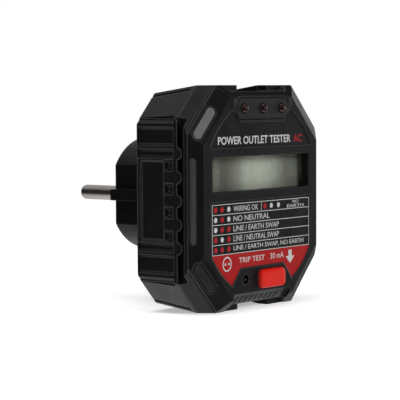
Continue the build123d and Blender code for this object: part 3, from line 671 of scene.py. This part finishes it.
def write_words(piece: Workpiece, words: str, left: float, right: float, base: float, height: float,
                thickness: float, weight: float = 0.012) -> None:
    """Add raised lettering that fills a box.

    Args:
        piece: the mesh that it joins.
        words: what it says.
        left: left end.
        right: right end.
        base: level of the foot of the letters.
        height: height of a capital.
        thickness: how far it stands up.
        weight: how much bolder than the plain face.
    """
    curve = bpy.data.curves.new("words", "FONT")
    curve.body = words
    curve.offset = weight
    curve.resolution_u = 3
    curve.extrude = 0.5
    text = bpy.data.objects.new("words", curve)
    bpy.context.scene.collection.objects.link(text)
    bpy.context.view_layer.update()
    drawn = bpy.data.meshes.new_from_object(text.evaluated_get(bpy.context.evaluated_depsgraph_get()))
    xs = [v.co.x for v in drawn.vertices]
    ys = [v.co.y for v in drawn.vertices]
    across = (right - left) / (max(xs) - min(xs))
    up = height / (max(ys) - min(ys))
    drawn.transform(Matrix.Translation((left, base, thickness / 2))
                    @ Matrix.Diagonal((across, up, thickness, 1))
                    @ Matrix.Translation((-min(xs), -min(ys), 0)))
    piece.mesh.from_mesh(drawn)
    bpy.data.objects.remove(text)
    bpy.data.curves.remove(curve)
    bpy.data.meshes.remove(drawn)


# ---------------------------------------------------------------- sub-assemblies


@dataclass
class CaseShell:
    """Front cover, rear housing, grips and corner inserts."""

    # the shell and the grips carry a painted highlight along their rounded edges
    shell: MouldedPlastic = MouldedPlastic(
        "case_plastic", (0.0042, 0.0042, 0.0043), roughness=0.36, gloss=0.3, wear=0.12, painted_edge_highlight=0.75)
    grip: MouldedPlastic = MouldedPlastic("grip_rubber", (0.004, 0.004, 0.0041), roughness=0.4, gloss=0.28,
                                          grain_mm=0.3, grain_depth_mm=0.016, wear=0.2, painted_edge_highlight=0.9)
    insert: MouldedPlastic = MouldedPlastic("insert_rubber", (0.09, 0.0875, 0.089), roughness=0.55, gloss=0.3,
                                            grain_mm=0.18)
    # painted shade: the lower inserts take a darker copy of the upper inserts' grey, standing in for the
    # shade they sit in
    lower_insert_painted_shade: MouldedPlastic = MouldedPlastic(
        "insert_rubber_painted_shade", (0.012, 0.0118, 0.012), roughness=0.5, gloss=0.3, grain_mm=0.18)
    strip: MouldedPlastic = MouldedPlastic("strip_rubber", (0.03, 0.0295, 0.03), roughness=0.5, gloss=0.3,
                                           grain_mm=0.18)

    def build(self) -> None:
        """Dress the shell, the grips and the inserts."""
        shell = self.shell.material()
        dress(shell, "front_cover", "rear_housing")
        dress(self.grip.material(), "side_grip_left", "side_grip_right")
        dress(self.insert.material(), "corner_insert_top_left", "corner_insert_top_right")
        dress(self.lower_insert_painted_shade.material(), "corner_insert_bottom_left", "corner_insert_bottom_right")
        dress(self.strip.material(), "side_strip_left", "side_strip_right")


@dataclass
class SounderPort:
    """Dark sleeve behind the round port, with the sounder's tip at its floor."""

    place: Point = (-9.1, -25.5)
    bore: float = 1.62
    outside: float = 2.2
    start: float = 2.3
    length: float = 2.4
    floor: float = 0.5
    tip: float = 0.55
    tip_reach: float = 3.8
    plastic: MouldedPlastic = MouldedPlastic("port_plastic", (0.006, 0.006, 0.006), roughness=0.3, gloss=0.5,
                                             grain_mm=0.15, edge_mm=0.1)
    tip_metal: Metal = Metal("port_tip", (0.16, 0.155, 0.15), roughness=0.3, marks=(1.0, 1.0, 1.0))

    def build(self) -> None:
        """Turn the sleeve and the tip."""
        where = Facing.at_depth(self.start + self.length)
        shift = Matrix.Translation((*self.place, 0))
        sleeve = Workpiece()
        sleeve.turned([(0.0, 0.0), (self.outside, 0.0), (self.outside, self.length), (self.bore, self.length),
                       (self.bore, self.floor), (0.0, self.floor)], 40)
        sleeve.mesh.transform(shift)
        sleeve.finish("port_sleeve", where, self.plastic.material(), Body.CASE)
        tip = Workpiece()
        steps = 6
        dome = [(self.tip * math.cos(a), self.tip_reach + self.tip * math.sin(a))
                for a in (math.radians(90 * k / steps) for k in range(steps))]
        foot, crest = [(0.0, self.floor), (self.tip, self.floor)], [(0.0, self.tip_reach + self.tip)]
        tip.turned(foot + dome + crest, 24)
        tip.mesh.transform(shift)
        tip.finish("port_tip", where, self.tip_metal.material(), Body.CASE)


@dataclass
class PrintedLabels:
    """The two printed films on the front: title above the display, results and test zone below it."""

    ink: float = 0.02
    field_radius: float = 31.6
    margin: float = 0.35
    title_base: float = 16.95
    title_height: float = 2.5
    table_half_width: float = 25.9
    table_top: float = -1.44
    row_height: float = 3.09
    rows: int = 5
    line: float = 0.2
    divider_x: float = -0.5
    dot_radius: float = 0.82
    dot_columns: tuple[float, ...] = (-24.3, -21.0, -17.6)
    second_columns: tuple[float, ...] = (1.4, 4.9, 8.8)
    text_left: float = -15.2
    zone_top: float = -17.05
    plate_inner: float = 11.65
    plate_outer: float = 15.65
    plate_top: float = -21.65
    plate_slant: float = 4.6
    film: MouldedPlastic = MouldedPlastic("label_film", (0.005, 0.005, 0.0052), roughness=0.34, gloss=0.3,
                                          grain_mm=0.12, grain_depth_mm=0.003, edge_mm=0.05)
    white: PrintedInk = PrintedInk("ink_white", (0.4, 0.4, 0.39))
    red: PrintedInk = PrintedInk("ink_red", (0.27, 0.0035, 0.004))
    dark_red: PrintedInk = PrintedInk("ink_dark_red", (0.26, 0.008, 0.012))

    def _where(self) -> Matrix:
        """Plane of the film's printed face."""
        return Facing.at_depth(depth_mm("label_lower"))

    def _ink(self, piece: Workpiece, name: str, material: bpy.types.Material) -> None:
        """Make a drawn ink a piece on the film."""
        piece.finish(name, self._where(), material, Body.CASE)

    def _title(self, white: bpy.types.Material, red: bpy.types.Material) -> None:
        """Title line above the display."""
        words = Workpiece()
        write_words(words, "POWER OUTLET TESTER", -23.0, 15.6, self.title_base, self.title_height,
                    self.ink, 0.018)
        self._ink(words, "title_words", white)
        accent = Workpiece()
        write_words(accent, "AC", 17.2, 22.0, self.title_base, self.title_height, self.ink, 0.018)
        self._ink(accent, "title_accent", red)

    def _table(self, white: bpy.types.Material, red: bpy.types.Material) -> None:
        """Result table: its lines, its dots and its legends."""
        lines = Workpiece()
        half, bottom = self.table_half_width, self.table_top - self.rows * self.row_height
        for row in range(self.rows + 1):
            level = self.table_top - row * self.row_height
            lines.bar(-half, half, level - self.line / 2, level + self.line / 2, self.ink)
        for x, low in ((-half, bottom), (half, bottom), (self.divider_x, self.table_top - self.row_height)):
            lines.bar(x - self.line / 2, x + self.line / 2, low, self.table_top, self.ink, 0.002)
        self._ink(lines, "table_lines", white)
        lit, unlit = Workpiece(), Workpiece()
        patterns = ("110", "010", "011", "101", "111")
        spots = [(x, row, state == "1") for row, pattern in enumerate(patterns)
                 for x, state in zip(self.dot_columns, pattern)]
        spots += [(x, 0, state == "1") for x, state in zip(self.second_columns, "100")]
        for x, row, is_lit in spots:
            y = self.table_top - (row + 0.5) * self.row_height
            (lit if is_lit else unlit).disc(x, y, self.dot_radius * (1.08 if is_lit else 1.0), self.ink, 28)
        self._ink(lit, "dots_lit", red)
        self._ink(unlit, "dots_unlit", white)
        legends = Workpiece()
        for row, (words, right) in enumerate((
            ("WIRING OK", -2.2), ("NO NEUTRAL", 3.9), ("LINE / EARTH SWAP", 9.0),
            ("LINE / NEUTRAL SWAP", 9.0),
            ("LINE / EARTH SWAP, NO EARTH", 22.8),
        )):
            base = self.table_top - (row + 0.5) * self.row_height - 0.85
            write_words(legends, words, self.text_left, right, base, 1.7, self.ink, 0.004)
        first = self.table_top - 0.5 * self.row_height
        write_words(legends, "NO", 16.6, 19.9, first + 0.17, 1.0, self.ink, 0.004)
        write_words(legends, "EARTH", 13.6, 23.0, first - 1.17, 1.0, self.ink, 0.004)
        self._ink(legends, "table_legends", white)

    def _zone(self, white: bpy.types.Material, red: bpy.types.Material) -> None:
        """Red zone round the button plate, with its legend and two plain marks."""
        zone = Workpiece()
        verts = zone.disc(0, 0, self.field_radius - self.margin, self.ink, 160)
        geom = list(verts)
        geom += list({e for v in verts for e in v.link_edges})
        geom += list({f for v in verts for f in v.link_faces})
        cut = bmesh.ops.bisect_plane(zone.mesh, geom=geom, plane_co=(0, self.zone_top, 0), plane_no=(0, 1, 0),
                                     clear_outer=True)
        cut_edges = [g for g in cut["geom_cut"] if isinstance(g, bmesh.types.BMEdge)]
        bmesh.ops.holes_fill(zone.mesh, edges=cut_edges)
        planes = [((0, self.plate_top, 0), (0, 1, 0))]
        for side in (-1, 1):
            slope = self.plate_outer - self.plate_inner
            planes.append(((side * self.plate_inner, self.plate_top, 0), (side * self.plate_slant, slope, 0)))
            planes.append(((side * self.plate_outer, 0, 0), (side, 0, 0)))
        for point, normal in planes:
            everything = list(zone.mesh.verts) + list(zone.mesh.edges) + list(zone.mesh.faces)
            bmesh.ops.bisect_plane(zone.mesh, geom=everything, plane_co=point, plane_no=normal)
        inside = []
        for face in zone.mesh.faces:
            middle = face.calc_center_median()
            if all((middle - Vector(point)).dot(Vector(normal)) < 1e-4 for point, normal in planes):
                inside.append(face)
        bmesh.ops.delete(zone.mesh, geom=inside, context="FACES")
        lower = [v for v in zone.mesh.verts if v.co.z < self.ink / 2]
        for edge in [e for e in zone.mesh.edges if e.is_boundary]:
            if min(v.co.z for v in edge.verts) > self.ink / 2:
                first, last = edge.verts
                feet = [min(lower, key=lambda v, above=above: (v.co - above.co).length)
                        for above in (last, first)]
                zone.mesh.faces.new((first, last, *feet))
        self._ink(zone, "test_zone", red)
        marks = Workpiece()
        top = 0.002
        write_words(marks, "TRIP TEST", -12.4, 1.2, -20.1, 1.7, self.ink, 0.006)
        write_words(marks, "30 mA", 4.2, 11.6, -20.1, 1.9, self.ink, 0.006)
        marks.ring(-18.6, -20.0, 2.3, 0.42, self.ink, 48, top)
        for x in (-19.5, -17.7):
            marks.disc(x, -20.0, 0.42, self.ink, 20, top)
        arrow = [(15.2, -22.2), (17.6, -19.9), (16.1, -19.9), (16.1, -17.9), (14.3, -17.9), (14.3, -19.9),
                 (12.8, -19.9)]
        marks.polygon(arrow, self.ink, top)
        marks.mesh.transform(Matrix.Translation((0, 0, self.ink)))
        self._ink(marks, "test_legend", white)

    def build(self) -> None:
        """Dress the films and print on them."""
        film = self.film.material()
        dress(film, "label_upper", "label_lower")
        white, red, dark_red = self.white.material(), self.red.material(), self.dark_red.material()
        self._title(white, dark_red)
        self._table(white, dark_red)
        self._zone(white, red)


@dataclass
class Display:
    """Clear window, LCD cell and the printed edge of the glass."""

    border: float = 0.45
    film_thickness: float = 0.12
    glass: ClearSheet = ClearSheet("window_clear")
    # painted light levels along the display, then the height band of its painted shadow
    panel: ReflectiveLcd = ReflectiveLcd("lcd_reflector", (
        (-26.0, 0.16), (-20.4, 0.2), (-19.5, 0.36), (-17.2, 0.33), (-16.6, 0.23), (-13.6, 0.22),
        (-12.6, 0.27), (-10.0, 0.37), (-7.2, 0.48), (-5.2, 0.68), (-2.8, 0.84), (3.0, 0.86), (8.0, 0.8),
        (10.7, 0.67), (13.4, 0.57), (16.1, 0.42), (18.8, 0.31), (24.2, 0.26), (25.0, 0.15),
        (26.0, 0.12)), (11.2, 13.2))
    edge: MouldedPlastic = MouldedPlastic("lcd_edge", (0.05, 0.052, 0.04), roughness=0.3, grain_mm=0.1,
                                          grain_depth_mm=0.002)
    frame_plastic: MouldedPlastic = MouldedPlastic("display_frame_plastic", (0.5, 0.5, 0.48), grain_mm=0.3)
    rubber: MouldedPlastic = MouldedPlastic(
        "contact_rubber", (0.02, 0.02, 0.02), roughness=0.7, grain_mm=0.15)

    def build(self) -> None:
        """Dress the window and build the LCD cell behind it."""
        dress(self.glass.material(), "display_window")
        white = self.frame_plastic.material()
        dress(white, "display_frame", "backlight")
        dress(self.rubber.material(), "contact_strip_top", "contact_strip_bottom")
        middle, size = centre_mm("lcd_panel"), size_mm("lcd_panel")
        half_x, half_z = size.x / 2, size.z / 2
        cell = Workpiece()
        cell.bar(-half_x, half_x, -half_z, half_z, size.y - self.film_thickness)
        cell.soften(list(cell.mesh.edges), 0.12, 2)
        cell.mesh.transform(Matrix.Translation((middle.x, middle.z, 0)))
        back = Facing.at_depth(depth_mm("lcd_panel", back=True))
        cell.finish("lcd_cell", back, self.edge.material(), Body.CASE, ["lcd_panel"])
        film = Workpiece()
        inner_x, inner_z = half_x - self.border, half_z - self.border
        film.bar(-inner_x, inner_x, -inner_z, inner_z, self.film_thickness)
        film.mesh.transform(Matrix.Translation((middle.x, middle.z, size.y - self.film_thickness)))
        film.finish("lcd_film", back, self.panel.material(), Body.CASE)


@dataclass
class Lamps:
    """Lamp plate and the three indicator lamps."""

    resin: LampResin = LampResin("lamp_resin", (0.1, 0.003, 0.005))
    cup_metal: Metal = Metal("lamp_lead_frame", (0.5, 0.5, 0.48), roughness=0.35, marks=(1.0, 1.0, 1.0))
    plate: MouldedPlastic = MouldedPlastic(
        "lamp_plate_plastic", (0.012, 0.0117, 0.0122), roughness=0.44, gloss=0.3, grain_mm=0.16)
    radius: float = 1.5
    foot: float = 3.8
    flange_height: float = 1.0
    flange_edge: float = 0.12
    cup_radius: float = 0.62
    cup_low: float = 1.6
    cup_floor: float = 1.9
    cup_rim: float = 2.35
    post_width: float = 0.4
    dome_steps: int = 7

    def _lens(self, node: str) -> None:
        """Turn one lamp body: dome, barrel, flange and foot."""
        size = size_mm(node)
        middle = centre_mm(node)
        flange, edge = size.x / 2, self.flange_edge
        top = self.foot - depth_mm(node)
        angles = [math.radians(90 * k / self.dome_steps) for k in range(self.dome_steps + 1)]
        dome = [(self.radius * math.cos(a), top - self.radius + self.radius * math.sin(a)) for a in angles]
        profile = [(0.0, 0.0), (flange - edge, 0.0), (flange, edge), (flange, self.flange_height - edge),
                   (flange - edge, self.flange_height), (self.radius, self.flange_height)]
        profile += dome[:-1] + [(0.0, top)]
        lens = Workpiece()
        lens.turned(profile, 40)
        lens.mesh.transform(Matrix.Translation((middle.x, middle.z, 0)))
        lens.finish(node + "_lens", Facing.at_depth(self.foot), self.resin.material(), Body.CASE,
                    [node])

    def _lead_frame(self, node: str, metal: bpy.types.Material) -> None:
        """Build the reflector cup and the two posts inside a lamp."""
        middle = centre_mm(node)
        inner = Workpiece()
        inner.turned([(0.0, self.cup_floor), (0.22, self.cup_floor), (self.cup_radius - 0.1, self.cup_rim),
                      (self.cup_radius, self.cup_rim), (self.cup_radius - 0.12, self.cup_low),
                      (0.0, self.cup_low)], 24)
        half = self.post_width / 2
        inner.bar(-1.05, -1.05 + 2 * half, -half, half, 2.2, 0.1)
        inner.bar(-0.35, 0.35, -half, half, 1.6, 0.1)
        inner.mesh.transform(Matrix.Translation((middle.x, middle.z, 0)))
        inner.finish(node + "_lead_frame", Facing.at_depth(self.foot), metal, Body.CASE)

    def build(self) -> None:
        """Dress the plate and build the lamps."""
        dress(self.plate.material(), "lamp_plate")
        metal = self.cup_metal.material()
        for node in ("lamp_left", "lamp_middle", "lamp_right"):
            self._lens(node)
            self._lead_frame(node, metal)


@dataclass
class TestButton:
    """Red key that stands through the front, with a crowned face."""

    width: float = 13.0
    height: float = 6.0
    corner: float = 1.6
    crown: tuple[tuple[float, float], ...] = (
        (0.10, 0.34), (0.20, 0.30), (0.30, 0.20), (0.40, 0.10), (0.36, 0.03), (0.08, 0.0), (0.08, 0.0))
    lip: float = 1.2
    lip_thickness: float = 0.9
    lip_level: float = -2.22
    lip_inset: float = 0.5
    stem_radius: float = 1.9
    plastic: MouldedPlastic = MouldedPlastic("button_plastic", (0.5, 0.009, 0.004), roughness=0.34, gloss=0.3,
                                             grain_mm=0.16, grain_depth_mm=0.006, mottle=0.06)
    switch_plastic: MouldedPlastic = MouldedPlastic("switch_plastic", (0.02, 0.02, 0.02), roughness=0.5)

    def build(self) -> None:
        """Build the key and dress its switch."""
        middle = centre_mm("test_button")
        low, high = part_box("test_button")
        front = Facing.FRONT_MM - low.y / MM
        key = Workpiece()
        rise = sum(step[1] for step in self.crown)
        key.bar(-self.width / 2, self.width / 2, -self.height / 2, self.height / 2,
                front - self.lip_level - rise, self.lip_level)
        uprights = [e for e in key.mesh.edges if abs(e.verts[0].co.z - e.verts[1].co.z) > 0.1]
        key.soften(uprights, self.corner, 6)
        face = max(key.mesh.faces, key=lambda f: f.calc_center_median().z)
        for inset, lift in self.crown:
            bmesh.ops.inset_region(key.mesh, faces=[face], thickness=inset, use_even_offset=True)
            bmesh.ops.translate(key.mesh, verts=list(face.verts), vec=(0, 0, lift))
        lip_back = self.lip_level - self.lip_thickness
        key.bar(-self.width / 2 - self.lip, self.width / 2 + self.lip, -self.height / 2 + self.lip_inset,
                self.height / 2 - self.lip_inset, self.lip_thickness, lip_back)
        foot = Facing.FRONT_MM - high.y / MM
        key.disc(0, 0, self.stem_radius, lip_back - foot, 32, foot)
        key.mesh.transform(Matrix.Translation((middle.x, middle.z, 0)))
        key.finish("button_key", Facing.at_depth(0), self.plastic.material(), Body.BUTTON,
                   ["test_button"], 50.0)
        dress(self.switch_plastic.material(), "switch_body", "sounder", "switch_plunger")


@dataclass
class Plug:
    """Plug body, pins and earth clips."""

    body_plastic: MouldedPlastic = MouldedPlastic(
        "plug_plastic", (0.004, 0.004, 0.0041), roughness=0.3, gloss=0.16, grain_mm=0.2, grain_depth_mm=0.008)
    pin_metal: Metal = Metal("pin_plating", (0.42, 0.39, 0.37), roughness=0.26)
    clip_metal: Metal = Metal("clip_plating", (0.6, 0.59, 0.56), roughness=0.28, marks=(10.0, 1.0, 1.0))
    brass: Metal = Metal("strap_brass", (0.62, 0.42, 0.16), roughness=0.3)

    def build(self) -> None:
        """Dress the plug."""
        dress(self.body_plastic.material(), "plug_body")
        dress(self.pin_metal.material(), "pin_left", "pin_right")
        dress(self.clip_metal.material(), "earth_clip_top", "earth_clip_bottom")
        dress(self.brass.material(), "earth_bridge", "pin_strap_left", "pin_strap_right")


@dataclass
class Internals:
    """Boards, parts on them, and the screws."""

    board: CircuitBoard = CircuitBoard("board_mask")
    steel: Metal = Metal(
        "screw_steel", (0.46, 0.45, 0.43), roughness=0.32, marks=(1.0, 1.0, 1.0), mark_mm=0.4)
    chip: MouldedPlastic = MouldedPlastic("chip_epoxy", (0.02, 0.02, 0.021), roughness=0.6)
    ceramic: MouldedPlastic = MouldedPlastic("ceramic_glaze", (0.62, 0.6, 0.53), roughness=0.5)
    capacitor: MouldedPlastic = MouldedPlastic("capacitor_box", (0.6, 0.38, 0.04), roughness=0.45)
    arrester: MouldedPlastic = MouldedPlastic("arrester_dip", (0.03, 0.09, 0.32), roughness=0.4)

    def build(self) -> None:
        """Dress everything inside the case."""
        dress(self.board.material(), "display_board", "power_board")
        dress(self.steel.material(), "case_screws", "plug_screws")
        dress(self.chip.material(), "microcontroller", "board_link")
        dress(self.ceramic.material(), "fuse", "load_resistor_a", "load_resistor_b")
        dress(self.capacitor.material(), "capacitor")
        dress(self.arrester.material(), "surge_arrester")


@dataclass
class Studio:
    """Pale floor, soft light and the camera."""

    aim_mm: Colour = (-1.35, -24.2, -1.78)
    camera_mm: Colour = (-457.11, -380.10, 33.78)
    roll_degrees: float = -0.27
    lens_mm: float = 160.78
    sensor_mm: float = 36.0
    floor_radius: float = 3.0
    fade_from: float = 0.16
    fade_to: float = 0.5
    darkest: float = 0.02
    reflectors: tuple[tuple[Colour, float, float, float], ...] = (
        ((0.05, 0.3, -0.95), 0.35, 0.85, 1.0),
        ((0.0, 0.35, 0.94), 0.6, 0.95, 0.6),
        ((0.68, 0.7, 0.2), 0.8, 0.97, 0.55),
        ((0.0, -0.35, 0.93), 0.88, 0.98, 0.5),
        ((0.787, 0.36, -0.5), 0.94, 0.99, 0.4),
        ((1.0, -0.1, 0.0), 0.9, 0.98, 1.2),
        ((0.2, -0.97, 0.05), 0.9, 0.985, 0.9),
        ((-1.0, 0.05, 0.05), 0.93, 0.99, 1.2),
    )

    def _camera(self) -> None:
        """Place the camera."""
        data = bpy.data.cameras.new("camera")
        data.lens, data.sensor_width = self.lens_mm, self.sensor_mm
        data.clip_start, data.clip_end = 0.01, 20.0
        camera = bpy.data.objects.new("camera", data)
        bpy.context.scene.collection.objects.link(camera)
        place, aim = Vector(self.camera_mm) * MM, Vector(self.aim_mm) * MM
        turn = (aim - place).to_track_quat("-Z", "Y").to_matrix().to_4x4()
        camera.matrix_world = Matrix.Translation(place) @ turn @ Matrix.Rotation(
            math.radians(self.roll_degrees), 4, "Z")
        bpy.context.scene.camera = camera

    def _light(self, name: str, place: Colour, size: float, power: float, mirrored: bool = False) -> None:
        """Add one soft panel of light aimed at the object.

        Args:
            name: name of the lamp.
            place: where it stands, in metres.
            size: side of the panel.
            power: its power.
            mirrored: whether glossy surfaces show it.
        """
        data = bpy.data.lights.new(name, "AREA")
        data.shape, data.size, data.energy = "SQUARE", size, power
        lamp = bpy.data.objects.new(name, data)
        bpy.context.scene.collection.objects.link(lamp)
        lamp.location = place
        lamp.rotation_euler = (Vector(self.aim_mm) * MM - Vector(place)).to_track_quat("-Z", "Y").to_euler()
        lamp.visible_glossy = mirrored

    def _floor(self) -> None:
        """Lay a pale floor that fades into the backdrop."""
        recipe = Recipe("floor_paper")
        mapping = recipe.stretched((1.0, 1.0, 0.0))
        length = recipe.node("ShaderNodeVectorMath")
        length.operation = "LENGTH"
        recipe.link(mapping, length.inputs[0])
        fade = recipe.span(length.outputs["Value"], 0.0, 1.0, self.fade_from, self.fade_to)
        paper = recipe.ramp(recipe.noise(14.0, 3.0), [(0.3, (0.86, 0.86, 0.86)), (0.7, (0.9, 0.9, 0.9))])
        recipe.feed(Base_Color=paper)
        recipe.set(Roughness=0.7, Specular_IOR_Level=0.1, Emission_Strength=0.4)
        recipe.shader.inputs["Emission Color"].default_value = (1.0, 1.0, 1.0, 1.0)
        glow = recipe.node("ShaderNodeBsdfTransparent")
        path = recipe.node("ShaderNodeLightPath")
        away = recipe.node("ShaderNodeMath")
        away.operation = "MAXIMUM"
        recipe.link(fade, away.inputs[0])
        recipe.link(path.outputs["Is Glossy Ray"], away.inputs[1])
        mix = recipe.node("ShaderNodeMixShader")
        recipe.link(away.outputs[0], mix.inputs[0])
        recipe.link(recipe.shader.outputs[0], mix.inputs[1])
        recipe.link(glow.outputs[0], mix.inputs[2])
        recipe.link(mix.outputs[0], recipe.output.inputs["Surface"])
        mesh = bmesh.new()
        bmesh.ops.create_circle(mesh, cap_ends=True, segments=96, radius=self.floor_radius)
        bmesh.ops.translate(mesh, verts=list(mesh.verts), vec=(0, 0, CAD_BOX[0][2]))
        data = bpy.data.meshes.new("floor")
        mesh.to_mesh(data)
        mesh.free()
        data.materials.append(recipe.material)
        floor = bpy.data.objects.new("floor", data)
        bpy.context.scene.collection.objects.link(floor)

    def _world(self) -> None:
        """White backdrop for the eye, softer surroundings for the light."""
        world = bpy.data.worlds.new("studio")
        world.use_nodes = True
        bpy.context.scene.world = world
        tree = world.node_tree
        tree.nodes.clear()
        output = tree.nodes.new("ShaderNodeOutputWorld")
        seen, lighting = tree.nodes.new("ShaderNodeBackground"), tree.nodes.new("ShaderNodeBackground")
        seen.inputs["Strength"].default_value = 1.0
        seen.inputs["Color"].default_value = (1.0, 1.0, 1.0, 1.0)
        lighting.inputs["Color"].default_value = (1.0, 1.0, 1.0, 1.0)
        around = tree.nodes.new("ShaderNodeTexCoord").outputs["Generated"]
        total = None
        for direction, start, stop, strength in self.reflectors:
            towards = tree.nodes.new("ShaderNodeVectorMath")
            towards.operation = "DOT_PRODUCT"
            towards.inputs[1].default_value = Vector(direction).normalized()
            tree.links.new(around, towards.inputs[0])
            lobe = tree.nodes.new("ShaderNodeMapRange")
            lobe.interpolation_type = "SMOOTHSTEP"
            limits = (("From Min", start), ("From Max", stop), ("To Min", 0.0), ("To Max", strength))
            for key, number in limits:
                lobe.inputs[key].default_value = number
            tree.links.new(towards.outputs["Value"], lobe.inputs["Value"])
            level = tree.nodes.new("ShaderNodeMath")
            level.inputs[1].default_value = self.darkest
            tree.links.new(lobe.outputs["Result"], level.inputs[0])
            if total is not None:
                tree.links.new(total, level.inputs[1])
            total = level.outputs[0]
        tree.links.new(total, lighting.inputs["Strength"])
        path = tree.nodes.new("ShaderNodeLightPath")
        mix = tree.nodes.new("ShaderNodeMixShader")
        tree.links.new(path.outputs["Is Camera Ray"], mix.inputs[0])
        tree.links.new(lighting.outputs[0], mix.inputs[1])
        tree.links.new(seen.outputs[0], mix.inputs[2])
        tree.links.new(mix.outputs[0], output.inputs["Surface"])

    def build(self) -> None:
        """Set the stage."""
        bpy.context.scene.view_settings.view_transform = "Standard"
        self._camera()
        self._floor()
        self._world()
        self._light("key", (0.0, -0.95, 0.5), 0.5, 8.0)
        self._light("top", (-0.45, 0.2, 1.2), 0.8, 9.0)
        self._light("sparkle", (-0.7, -0.5, 0.75), 0.12, 0.25, True)


def main() -> None:
    """Build the sub-assemblies in order."""
    logging.basicConfig(level=logging.INFO, format="%(name)s %(message)s")
    assemblies = (Studio(), CaseShell(), SounderPort(), PrintedLabels(), Display(), Lamps(), TestButton(),
                  Plug(), Internals())
    for assembly in assemblies:
        LOG.info("building %s", type(assembly).__name__)
        assembly.build()


if __name__ == "__main__":
    main()
